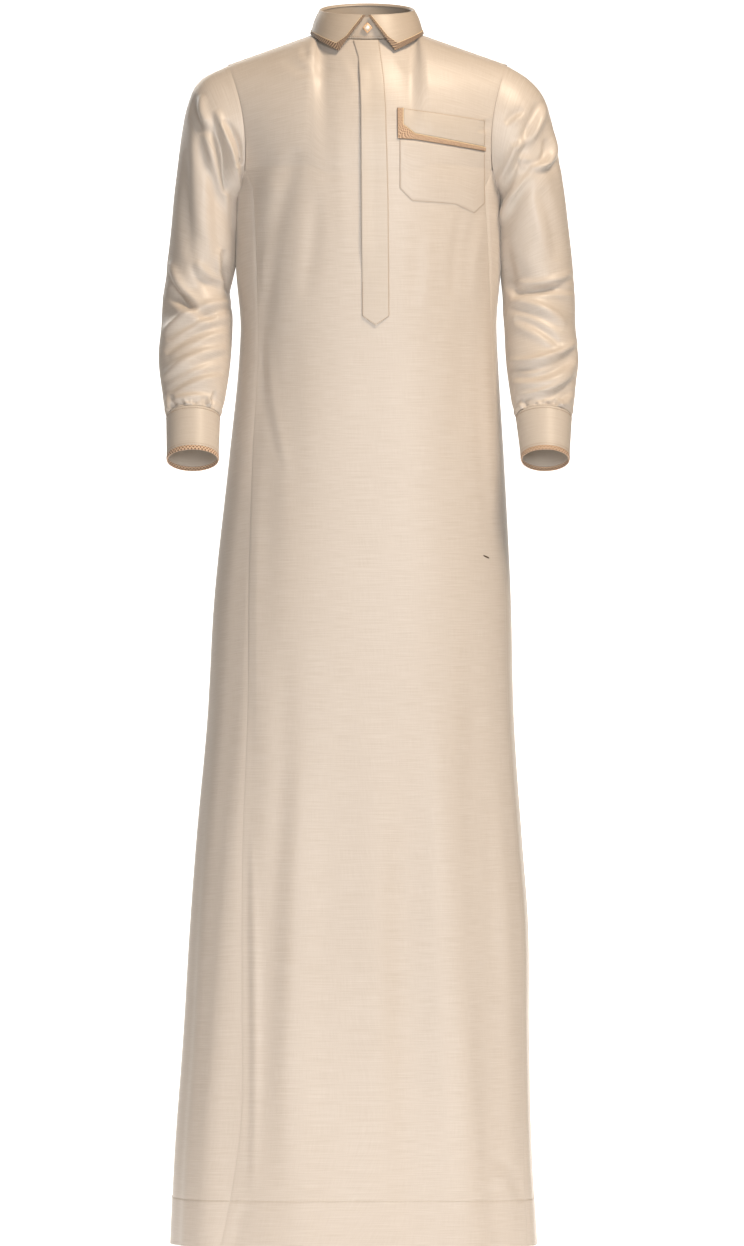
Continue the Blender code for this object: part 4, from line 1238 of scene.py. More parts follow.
def lay_cloth(name: str, firsts: Array, seconds: Array, surface: Surface,
              material: Material, thickness: float = 0.0009, closed: bool = False,
              turned: bool = False) -> Piece:
    """Lays out a flat grid of cloth and bends it onto a surface.

    Args:
        name: the piece's name.
        firsts: stations across the cloth.
        seconds: stations along the cloth.
        surface: gives the points at stations across and along.
        material: the finish.
        thickness: the cloth's thickness, added inwards.
        closed: the two sides meet and are joined, as on a sleeve.
        turned: the surface's own normal points inwards.

    Returns:
        The finished piece, with its flat size in metres in its UV map and in its cut properties.
    """
    deselect()
    columns, rows = len(firsts), len(seconds)
    bpy.ops.mesh.primitive_grid_add(x_subdivisions=columns - 1, y_subdivisions=rows - 1, size=2,
                                    calc_uvs=True)
    piece = bpy.context.object
    piece.name = piece.data.name = name
    mesh = piece.data
    flat = np.empty(len(mesh.vertices) * 3)
    mesh.vertices.foreach_get("co", flat)
    flat = flat.reshape(-1, 3)
    i = np.rint((flat[:, 0] + 1) / 2 * (columns - 1)).astype(int)
    j = np.rint((flat[:, 1] + 1) / 2 * (rows - 1)).astype(int)
    first, second = np.meshgrid(firsts, seconds)
    points = surface(first, second)
    mesh.vertices.foreach_set("co", points[j, i].ravel())
    across = np.linalg.norm(np.diff(points, axis=1), axis=-1)
    along = np.linalg.norm(np.diff(points, axis=0), axis=-1)
    width, length = across.sum(1).max(), along.sum(0).max()
    share_x = np.concatenate([[0], np.cumsum(across.mean(0))]) / across.mean(0).sum() * width
    share_y = np.concatenate([[0], np.cumsum(along.mean(1))]) / along.mean(1).sum() * length
    corner = np.empty(len(mesh.loops), dtype=int)
    mesh.loops.foreach_get("vertex_index", corner)
    uv = np.stack([share_x[i[corner]], share_y[j[corner]]], -1)
    mesh.uv_layers[0].name = "UVMap"
    mesh.uv_layers[0].data.foreach_set("uv", uv.ravel())
    edit_all(piece)
    if closed:
        bpy.ops.mesh.remove_doubles(threshold=JOIN_REACH)
    if turned:
        bpy.ops.mesh.flip_normals()
    bpy.ops.object.mode_set(mode="OBJECT")
    area = sum(face.area for face in mesh.polygons)
    solid = piece.modifiers.new("thickness", "SOLIDIFY")
    solid.thickness = thickness
    solid.offset = -1.0
    bpy.ops.object.modifier_apply(modifier=solid.name)
    bpy.ops.object.shade_smooth_by_angle(angle=CLOTH_SMOOTH)
    mesh.materials.append(material)
    piece["cut"] = (float(width), float(length), float(area))
    return piece


def dress(piece: Piece, slot: Slot, *nodes: str) -> Piece:
    """Lets a piece ride on the root and stand for CAD nodes, and reports it."""
    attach(piece, "root")
    if nodes:
        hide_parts(*nodes)
    LOG.info("%s: %d faces", piece.name, len(piece.data.polygons))
    return piece


def clustered(count: int, edge: float, edge_count: int = 3) -> Array:
    """Stations from 0 to 1, closer together within an edge at both ends."""
    inner = np.linspace(edge, 1 - edge, count)
    near = np.linspace(0, edge, edge_count, endpoint=False)
    return np.concatenate([near, inner, 1 - near[::-1]])


@dataclass
class Robe:
    """The front, back, sides and gussets."""

    form: BodyForm
    finishes: Wardrobe
    shoulder_gap: float = 0.0004
    stitch_reach: float = 0.0012
    stitch_clear: float = 0.003
    panel_edge: float = 0.012
    side_edge: float = 0.04
    side_clear: float = 0.002
    side_roll: float = 0.05
    side_grid: tuple[int, int] = (26, 190)
    gusset_edge: float = 0.05
    gusset_roll: float = 0.06
    gusset_grid: tuple[int, int] = (22, 44)
    front_grid: tuple[int, int, int] = (118, 200, 92)
    back_grid: tuple[int, int, int] = (84, 150, 60)

    def heights(self, below: int, above: int) -> Array:
        """Stations from the hem to the top, with close rows at the hem's stitch line."""
        fold = (HEM_FOLD_Z - HEM_Z) / (CHEST_Z - HEM_Z)
        hem = np.linspace(0, fold - self.stitch_clear, 10)
        near = fold + self.stitch_reach * np.array([-1.0, -0.5, 0.0, 0.5, 1.0])
        skirt = np.linspace(fold + self.stitch_clear, 1, below)
        chest = 1 + np.linspace(0, 1 - self.shoulder_gap, above)[1:]
        return np.concatenate([hem, near, skirt, chest])

    def panel(self, name: str, back: bool, grid: tuple[int, int, int]) -> Piece:
        """The front or the back, on a grid of columns, rows below the chest and rows above it."""
        surface = self.form.back if back else self.form.front
        across = clustered(grid[0], self.panel_edge)
        piece = lay_cloth(name, across, self.heights(*grid[1:]), surface, self.finishes.cloth)
        dress(piece, Slot.CLOTH, "back_panel" if back else "front_panel")
        return piece

    def side(self, side: Side) -> Piece:
        """A side panel, from the hem to the gusset's point."""
        form = self.form

        def surface(across: Array, drop: Array) -> Array:
            """The side's point between the hem and its upper edge."""
            top = form.gusset_low(across)
            z = HEM_Z + (top - HEM_Z) * drop
            point = form.side(side, across, z)
            normal = unit_normal(lambda a, h: form.side(side, a, h), across, z) * side.sign
            push = form.seam_roll(across, self.side_roll) + form.hem_push(z)
            push = push + form.underarm(across, z)
            return point + normal * push[..., None]

        fold = (HEM_FOLD_Z - HEM_Z) / (form.gusset_low_z - HEM_Z)
        hem = np.linspace(0, fold - self.side_clear, 8)
        near = np.linspace(fold - self.stitch_reach, fold + self.stitch_reach, 5)
        skirt = np.linspace(fold + self.stitch_clear, 1, self.side_grid[1])
        rows = np.concatenate([hem, near, skirt])
        across = clustered(self.side_grid[0], self.side_edge)
        piece = lay_cloth(f"side_{side.value}", across, rows, surface, self.finishes.cloth,
                          turned=side is Side.RIGHT)
        dress(piece, Slot.CLOTH, f"side_panel_{side.value}")
        return piece

    def gusset(self, side: Side) -> Piece:
        """A gusset under the arm."""
        form = self.form

        def surface(across: Array, up: Array) -> Array:
            """The gusset's point."""
            point = form.gusset(side, across, up)
            inside = np.clip(up, INSIDE, 2 - INSIDE)
            normal = unit_normal(lambda a, u: form.gusset(side, a, u), across, inside) * side.sign
            push = form.seam_roll(across, self.gusset_roll)
            push = push + form.underarm(across, point[..., 2])
            return point + normal * push[..., None]

        across = clustered(self.gusset_grid[0], self.gusset_edge)
        ups = np.linspace(0, 2, self.gusset_grid[1])
        piece = lay_cloth(f"gusset_piece_{side.value}", across, ups, surface,
                          self.finishes.cloth, turned=side is Side.RIGHT)
        dress(piece, Slot.CLOTH, f"gusset_{side.value}")
        return piece

    def build(self) -> None:
        """Builds the body's pieces."""
        self.panel("front_cloth", False, self.front_grid)
        self.panel("back_cloth", True, self.back_grid)
        for side in Side:
            self.side(side)
            self.gusset(side)


@dataclass
class Sleeve:
    """A sleeve, its cuff and the cuff's edging."""

    form: SleeveForm
    finishes: Wardrobe
    seam_depth: float = 0.0004
    seam_reach: float = 0.12
    gather_run: float = 0.45
    gather_depth: float = 0.0005
    gathers: int = 14
    gather_beat: int = 5
    puff: float = 0.0010
    crowding: float = 0.35
    cuff_lift: float = 0.0004
    cuff_roll: float = 0.0012
    cuff_roll_reach: float = 0.05
    stitch_place: float = 0.07
    stitch_groove: float = 0.0004
    stitch_width: float = 0.012
    edging_start: float = 0.962
    edging_end: float = 1.072
    edging_gap: float = 0.004
    edging_swell: float = 0.0006
    cuff_cloth: float = 0.0016
    edging_cloth: float = 0.0012
    sleeve_columns: int = 180
    cuff_columns: int = 96

    def around(self, count: int) -> Array:
        """Turns round the sleeve, from its inner seam back to it, closer together in front."""
        share = np.linspace(0, 1, count)
        crowded = self.crowding * np.sin(2 * math.pi * (share - 0.25))
        return math.pi + 2 * math.pi * share + crowded + self.crowding

    def sleeve(self) -> Piece:
        """The sleeve's cloth, from the armhole to its gathers at the cuff."""
        form, sign = self.form, self.form.side.sign

        def surface(turn: Array, along: Array) -> Array:
            """The sleeve's point, drawn in at the armhole and the cuff."""
            point = form.cloth(turn, along)
            normal = unit_normal(form.base, turn, along) * sign
            at_cuff = np.clip((along - form.last + self.gather_run) / self.gather_run, 0, 1)
            near_cuff = np.sin(math.pi * at_cuff)
            uneven = 0.6 + 0.4 * np.sin(turn * self.gather_beat)
            gathers = self.gather_depth * np.sin(turn * self.gathers) * near_cuff * uneven
            roll = -self.seam_depth * np.clip(1 - along / self.seam_reach, 0, 1) ** 2
            swell = self.puff * near_cuff**2
            return point + normal * (gathers + roll + swell)[..., None]

        armhole = np.linspace(0, self.seam_reach, 4)
        arm = np.linspace(0.16, form.last - 0.5, 215)
        places = np.concatenate([armhole, arm, np.linspace(form.last - 0.48, form.last, 28)])
        name = f"sleeve_cloth_{form.side.value}"
        piece = lay_cloth(name, self.around(self.sleeve_columns), places, surface, self.finishes.cloth,
                          closed=True, turned=form.side is Side.RIGHT)
        dress(piece, Slot.CLOTH, f"sleeve_{form.side.value}")
        return piece

    def cuff(self) -> Piece:
        """The doubled cuff, with its rounded upper edge and stitch groove."""

        def surface(turn: Array, down: Array) -> Array:
            """The cuff's point, with rolled edges."""
            roll = self.cuff_roll * np.clip(1 - down / self.cuff_roll_reach, 0, 1) ** 2
            off = (down - self.stitch_place) / self.stitch_width
            groove = self.stitch_groove * np.exp(-(off**2))
            return self.form.cuff(turn, down, inset=roll + groove - self.cuff_lift)

        down = np.linspace(0.13, self.edging_start, 14)
        down = np.concatenate([np.linspace(0.002, 0.1, 9), down])
        name = f"cuff_cloth_{self.form.side.value}"
        piece = lay_cloth(name, self.around(self.cuff_columns), down, surface, self.finishes.facing,
                          thickness=self.cuff_cloth, closed=True, turned=self.form.side is Side.RIGHT)
        dress(piece, Slot.CLOTH, f"cuff_{self.form.side.value}")
        return piece

    def edging(self) -> Piece:
        """The woven edging round the wrist edge, with rounded edges."""

        def surface(turn: Array, down: Array) -> Array:
            """The edging's point, swelling a little in the middle."""
            share = (down - self.edging_start) / (self.edging_end - self.edging_start)
            swell = self.edging_swell * np.sin(math.pi * share)
            return self.form.cuff(turn, down, inset=-self.cuff_lift - swell)

        down = np.linspace(self.edging_start + self.edging_gap, self.edging_end, 7)
        name = f"cuff_edging_{self.form.side.value}"
        piece = lay_cloth(name, self.around(self.cuff_columns), down, surface, self.finishes.zigzag,
                          thickness=self.edging_cloth, closed=True,
                          turned=self.form.side is Side.RIGHT)
        dress(piece, Slot.EDGING, f"cuff_trim_{self.form.side.value}")
        return piece

    def build(self) -> None:
        """Builds the sleeve's pieces."""
        self.sleeve()
        self.cuff()
        self.edging()


@dataclass
class Collar:
    """The stand, the leaf folded over it, its edging and the cord along the leaf's edge."""

    form: CollarForm
    finishes: Wardrobe
    leaf_edge: float = 0.010
    leaf_hem: float = 0.86
    end_gap: float = 0.0006
    hem_gap: float = 0.004
    roll_height: float = 0.0022
    roll_inside: tuple[float, float, float] = (0.925, 0.915, 1.0)
    roll_drop: float = 0.002
    belly: float = 0.0016
    fold_proud: float = 0.0006
    fold_reach: float = 0.2
    cord_radius: float = 0.00060
    cord_lift: float = 0.0005
    chamfer_start: float = 0.62
    chamfer: float = 0.016
    foot_groove: float = 0.0007
    foot_reach: float = 0.06
    stand_gap: float = 0.005
    stand_cloth: float = 0.0014
    leaf_cloth: float = 0.0013
    edging_cloth: float = 0.0011
    columns: int = 150

    def margin(self, down: Array) -> Array:
        """How far the leaf's cloth stays off its ends: more near the tips, where it is cut off."""
        run = self.leaf_hem - self.chamfer_start
        return self.leaf_edge + self.chamfer * np.clip((down - self.chamfer_start) / run, 0, 1)

    def stand(self) -> Piece:
        """The stand round the neck, with its lapped front end."""
        form = self.form

        def surface(angle: Array, up: Array) -> Array:
            """The stand's point, with a groove along its foot."""
            point = form.stand(angle, up)
            normal = unit_normal(form.stand, angle, up)
            groove = -self.foot_groove * np.clip(1 - up / self.foot_reach, 0, 1) ** 2
            return point + normal * groove[..., None]

        angles = form.start + np.linspace(0, 2 * math.pi - self.stand_gap, self.columns)
        ups = np.concatenate([np.linspace(0, 0.08, 4), np.linspace(0.12, 1, 10)])
        # The collar's finish is the tan cloth darkened as painted shade.
        piece = lay_cloth("stand_cloth", angles, ups, surface, self.finishes.collar,
                          thickness=self.stand_cloth)
        dress(piece, Slot.CLOTH, "collar_stand")
        return piece

    def fold(self, around: Array, down: Array) -> Array:
        """The leaf with its rolled top: down runs from -1, inside the stand, over the fold to 1."""
        flat = np.clip(down, 0, 1)
        outer = self.form.leaf(around, flat)
        top = self.form.leaf(around, np.zeros_like(around))
        inside = top * np.array(self.roll_inside) + np.array([0, 0, -self.roll_drop])
        turn = math.pi * np.clip(-down, 0, 1)
        middle, reach = (top + inside) / 2, (top - inside) / 2
        rolled_over = middle + reach * np.cos(turn)[..., None]
        rolled_over = rolled_over + np.stack([0 * turn, 0 * turn, self.roll_height * np.sin(turn)], -1)
        return np.where(down[..., None] < 0, rolled_over, outer)

    def bellied(self, around: Array, down: Array) -> Array:
        """The folded leaf, standing a little proud between its fold and its edge."""
        point = self.fold(around, down)
        belly = self.belly * np.sin(math.pi * np.clip(down, 0, 1))
        belly = belly + self.fold_proud * np.clip(down / self.fold_reach, 0, 1)
        return point + level_away(point) * belly[..., None]

    def leaf(self) -> Piece:
        """The leaf, from inside the stand over the fold to its edging."""
        share = clustered(self.columns, 0.01, 4)
        down = np.concatenate([np.linspace(-1, 0, 8)[:-1], np.linspace(0, self.leaf_hem, 24)])

        def surface(place: Array, drop: Array) -> Array:
            """The leaf's point between its two slanted ends."""
            margin = self.margin(drop)
            return self.bellied(margin + (1 - 2 * margin) * place, drop)

        # The collar's finish is the tan cloth darkened as painted shade.
        piece = lay_cloth("leaf_cloth", share, down, surface, self.finishes.collar,
                          thickness=self.leaf_cloth)
        dress(piece, Slot.CLOTH, "collar_leaf")
        return piece

    def outline(self, cloth: bool, hem: float, count: int, extra: float = 0.0) -> tuple[Array, Array]:
        """An outline: down one front edge, round, and up the other.

        Args:
            cloth: along the cloth's own edge instead of the leaf's outer edge.
            hem: how far down it runs.
            count: places along its lower edge.
            extra: how far outside the cloth's edge it lies.

        Returns:
            The places around and down.
        """
        ends = np.linspace(0, hem, 22)
        margin = self.margin(ends) - extra if cloth else np.zeros_like(ends)
        bottom = np.linspace(margin[-1], 1 - margin[-1], count)[1:-1]
        around = np.concatenate([margin, bottom, 1 - margin[::-1]])
        down = np.concatenate([ends, np.full(len(bottom), hem), ends[::-1]])
        return around, down

    def edging(self) -> Piece:
        """The woven edging that runs down the front edges and round the leaf."""
        hem = self.leaf_hem + self.hem_gap
        outer_around, outer_down = self.outline(False, 1.0, self.columns)
        inner_around, inner_down = self.outline(True, hem, self.columns, self.end_gap)
        count = len(outer_around)

        def surface(place: Array, share: Array) -> Array:
            """The edging's point between its outer and inner edge."""
            k = np.rint(place * (count - 1)).astype(int)
            around = outer_around[k] + (inner_around[k] - outer_around[k]) * share
            down = outer_down[k] + (inner_down[k] - outer_down[k]) * share
            return self.bellied(around, down)

        piece = lay_cloth("leaf_edging", np.linspace(0, 1, count), np.linspace(0, 1, 5), surface,
                          self.finishes.twill, thickness=self.edging_cloth)
        dress(piece, Slot.EDGING, "collar_trim")
        return piece

    def cord(self) -> Piece:
        """The cream cord where the leaf's cloth meets its edging."""
        around, down = self.outline(True, self.leaf_hem, 220)
        points = self.bellied(around, down)
        points = points + level_away(points) * self.cord_lift
        piece = tube("leaf_cord", points, self.cord_radius, 6, self.finishes.cord)
        dress(piece, Slot.EDGING)
        return piece

    def build(self) -> None:
        """Builds the collar's pieces."""
        self.stand()
        self.leaf()
        self.edging()
        self.cord()


def tube(name: str, points: Array, radius: float, sides: int,
         material: Material) -> Piece:
    """A thin round cord along a path.

    Args:
        name: the piece's name.
        points: the path's points.
        radius: the cord's radius.
        sides: how many sides its section has.
        material: the finish.

    Returns:
        The cord, closed at both ends.
    """
    deselect()
    count = len(points)
    bpy.ops.mesh.primitive_cylinder_add(vertices=sides, radius=radius, depth=1.0, end_fill_type="NGON")
    piece = bpy.context.object
    ahead = np.gradient(points, axis=0)
    ahead /= np.linalg.norm(ahead, axis=1, keepdims=True)
    guide = np.cross(ahead, CORD_GUIDE)
    guide /= np.linalg.norm(guide, axis=1, keepdims=True)
    other = np.cross(ahead, guide)
    turn = np.linspace(0, 2 * math.pi, sides, endpoint=False)
    ring = np.cos(turn)[None, :, None] * guide[:, None] + np.sin(turn)[None, :, None] * other[:, None]
    places = (points[:, None] + radius * ring).reshape(-1, 3)
    faces = []
    for k in range(count - 1):
        for s in range(sides):
            t = (s + 1) % sides
            faces.append((k * sides + s, k * sides + t, (k + 1) * sides + t, (k + 1) * sides + s))
    faces.append(tuple(range(sides))[::-1])
    faces.append(tuple((count - 1) * sides + s for s in range(sides)))
    remake(piece, name, places, faces)
    bpy.ops.object.shade_smooth_by_angle(angle=CORD_SMOOTH)
    piece.data.materials.append(material)
    return piece


@dataclass
class FrontDetails:
    """What lies on the front: the placket, the pocket, its flap and edging."""

    form: BodyForm
    finishes: Wardrobe
    placket_lift: float = 0.0012
    placket_swell: float = 0.0008
    placket_open: float = 0.0026
    open_top: float = -0.035
    open_low: float = -0.315
    pocket_lift: float = 0.0010
    flap_lift: float = 0.0015
    edging_lift: float = 0.0017
    edging_swell: float = 0.0005
    rounding: float = 0.0009
    placket_rim: float = 0.05
    pocket_rim: float = 0.03
    inner_cord: float = 0.00045
    outer_cord: float = 0.00028
    cord_lift: float = 0.0001
    placket_cloth: float = 0.0012
    pocket_cloth: float = 0.0008
    edging_cloth: float = 0.0011
    bag_swell: float = 0.0012
    flap_swell: float = 0.0010
    fade_low: float = 0.03
    fade_top: float = 0.02
    open_share: float = 0.5

    def patch(self, name: str, x: Array, z: Array, lift: Array, material: Material,
              thickness: float) -> Piece:
        """A piece that lies on the front, from a grid of its places and its lift.

        Args:
            name: the piece's name.
            x: places across, a row for each station along.
            z: heights, in the same grid.
            lift: how far the outer side stands off the front.
            material: the finish.
            thickness: the cloth's thickness.

        Returns:
            The finished piece.
        """
        points = self.form.on_front(x, z, lift)
        rows, columns = x.shape

        def surface(first: Array, second: Array) -> Array:
            """The grid's own point."""
            return points[np.rint(second).astype(int), np.rint(first).astype(int)]

        return lay_cloth(name, np.arange(columns, dtype=float), np.arange(rows, dtype=float), surface,
                         material, thickness=thickness)

    def rounded(self, share: Array, other: Array, reach: float) -> Array:
        """How far a patch's rim turns down, from the shares across and along it."""
        near = np.minimum(np.minimum(share, 1 - share), np.minimum(other, 1 - other))
        return -self.rounding * np.clip(1 - near / reach, 0, 1) ** 2

    def placket(self) -> Piece:
        """The half placket with its point; its right edge stands a little open."""
        top_z, corner_z, tip_z = (PLACKET_ROWS[k][0] for k in (0, -2, -1))
        strip = top_z + (corner_z - top_z) * np.linspace(0, 1, 190)
        z_line = np.concatenate([strip, np.linspace(corner_z, tip_z, 9)[1:]])[::-1]
        share, z = np.meshgrid(clustered(14, 0.06), z_line)
        heights = column(PLACKET_ROWS, PLACKET_COLUMNS, "z")[::-1]
        right = np.interp(z, heights, column(PLACKET_ROWS, PLACKET_COLUMNS, "right")[::-1])
        left = np.interp(z, heights, column(PLACKET_ROWS, PLACKET_COLUMNS, "left")[::-1])
        x = right + (left - right) * share
        gape = np.clip((z - self.open_low) / self.fade_low, 0, 1)
        gape = gape * np.clip((self.open_top - z) / self.fade_top, 0, 1)
        gape = gape * np.clip(1 - share / self.open_share, 0, 1) ** 1.5
        lift = self.placket_lift + self.placket_swell + self.placket_open * gape
        lift = lift + self.rounded(share, np.full_like(share, 0.5), self.placket_rim)
        piece = self.patch("placket_cloth", x, z, lift, self.finishes.facing, self.placket_cloth)
        dress(piece, Slot.CLOTH, "placket")
        return piece

    def band(self, name: str, x_line: Array, top: Sequence, low: Sequence, rows: int, lift: float,
             material: Material, node: str, swell: float) -> Piece:
        """A patch between an upper and a lower broken line, bellied by swell in its middle."""
        share_x = (x_line - x_line[0]) / (x_line[-1] - x_line[0])
        ups = np.concatenate([[0, 0.03, 0.06], np.linspace(0.1, 0.9, rows), [0.94, 0.97, 1]])
        x, share = np.meshgrid(x_line, ups)
        across = np.meshgrid(share_x, share[:, 0])[0]
        z = edge_between(low, x) + (edge_between(top, x) - edge_between(low, x)) * share
        raised = lift + swell * np.sin(math.pi * across) * np.sin(math.pi * share)
        raised = raised + self.rounded(across, share, self.pocket_rim)
        piece = self.patch(name, x, z, raised, material, self.pocket_cloth)
        dress(piece, Slot.CLOTH, node)
        return piece

    def pocket(self) -> None:
        """The pocket's bag and its flap."""
        start, end = POCKET_LOW[0][0], POCKET_LOW[-1][0]
        across = clustered(64, 0.02)
        x_line = np.concatenate([start + (end - start) * across, [x for x, _ in POCKET_LOW[1:-1]]])
        self.band("pocket_bag", np.unique(x_line), POCKET_TOP, POCKET_LOW, 40, self.pocket_lift,
                  self.finishes.cloth, "chest_pocket", self.bag_swell)
        start, end = FLAP_LOW[0][0], FLAP_LOW[-1][0]
        x_line = np.concatenate([start + (end - start) * across, [x for x, _ in FLAP_LOW[1:-1]]])
        self.band("flap_cloth", np.unique(x_line), FLAP_TOP, FLAP_LOW, 18, self.flap_lift,
                  self.finishes.facing, "pocket_flap", self.flap_swell)

    def edging_paths(self) -> tuple[Array, Array]:
        """The edging's outer and inner edge as x and z, with the same number of places on each."""
        paths = []
        for points in (EDGING_OUTER, EDGING_INNER):
            points = np.array(points)
            runs = [np.linspace(points[k], points[k + 1], n, endpoint=False)
                    for k, n in enumerate((14, 12, 12, 70))]
            paths.append(np.concatenate([*runs, points[-1:]]))
        return paths[0], paths[1]

    def edging(self) -> Piece:
        """The woven edging down the flap's end and along its lower edge."""
        outer, inner = self.edging_paths()
        share = np.linspace(0, 1, 7)[:, None]
        x = outer[None, :, 0] + (inner[None, :, 0] - outer[None, :, 0]) * share
        z = outer[None, :, 1] + (inner[None, :, 1] - outer[None, :, 1]) * share
        lift = self.edging_lift + self.edging_swell * np.sin(math.pi * share) + 0 * x
        piece = self.patch("pocket_edging", x, z, lift, self.finishes.zigzag, self.edging_cloth)
        dress(piece, Slot.EDGING, "pocket_trim")
        return piece

    def cords(self) -> None:
        """The cream cord inside the edging and the brown one outside it."""
        outer, inner = self.edging_paths()
        for name, path, radius, material in (
            ("edging_cord_inner", inner, self.inner_cord, self.finishes.cord),
            ("edging_cord_outer", outer, self.outer_cord, self.finishes.dark_thread),
        ):
            points = self.form.on_front(path[:, 0], path[:, 1], self.edging_lift + self.cord_lift)
            dress(tube(name, points, radius, 6, material), Slot.EDGING)

    def build(self) -> None:
        """Builds what lies on the front."""
        self.placket()
        self.pocket()
        self.edging()
        self.cords()


@dataclass
class Stitching:
    """Rows of small stitches, each row a path over the cloth."""

    length: float = 0.0024
    gap: float = 0.0005
    radius: float = 0.00030
    runs: list[Array] = field(default_factory=list)

    def add(self, points: Array) -> None:
        """Adds a path, cut into stitches of an even length."""
        steps = np.linalg.norm(np.diff(points, axis=0), axis=1)
        distance = np.concatenate([[0], np.cumsum(steps)])
        count = max(int(distance[-1] / (self.length + self.gap)), 1)
        starts = np.arange(count) * (self.length + self.gap)
        ends = starts + self.length
        pair = []
        for place in (starts, ends):
            pair.append(np.stack([np.interp(place, distance, points[:, k]) for k in range(3)], -1))
        self.runs.append(np.stack(pair, 1))

    def build(self, name: str, material: Material, slot: Slot) -> Piece:
        """Copies one modelled stitch to every place and joins the copies."""
        deselect()
        bpy.ops.mesh.primitive_ico_sphere_add(subdivisions=1, radius=1.0)
        piece = bpy.context.object
        shape = np.array([v.co[:] for v in piece.data.vertices])
        triangles = np.array([f.vertices[:] for f in piece.data.polygons])
        pairs = np.concatenate(self.runs)
        middle, ahead = pairs.mean(1), pairs[:, 1] - pairs[:, 0]
        half = np.linalg.norm(ahead, axis=1, keepdims=True) / 2
        ahead = ahead / (2 * half)
        guide = np.cross(ahead, THREAD_GUIDE)
        guide /= np.linalg.norm(guide, axis=1, keepdims=True)
        other = np.cross(ahead, guide)
        round_it = shape[None, :, 1:2] * guide[:, None] + shape[None, :, 2:3] * other[:, None]
        places = middle[:, None] + shape[None, :, 0:1] * (ahead * half)[:, None]
        places = places + self.radius * round_it
        faces = triangles[None] + (np.arange(len(pairs)) * len(shape))[:, None, None]
        remake(piece, name, places.reshape(-1, 3), faces.reshape(-1, 3).tolist())
        bpy.ops.object.shade_smooth()
        piece.data.materials.append(material)
        dress(piece, slot)
        return piece


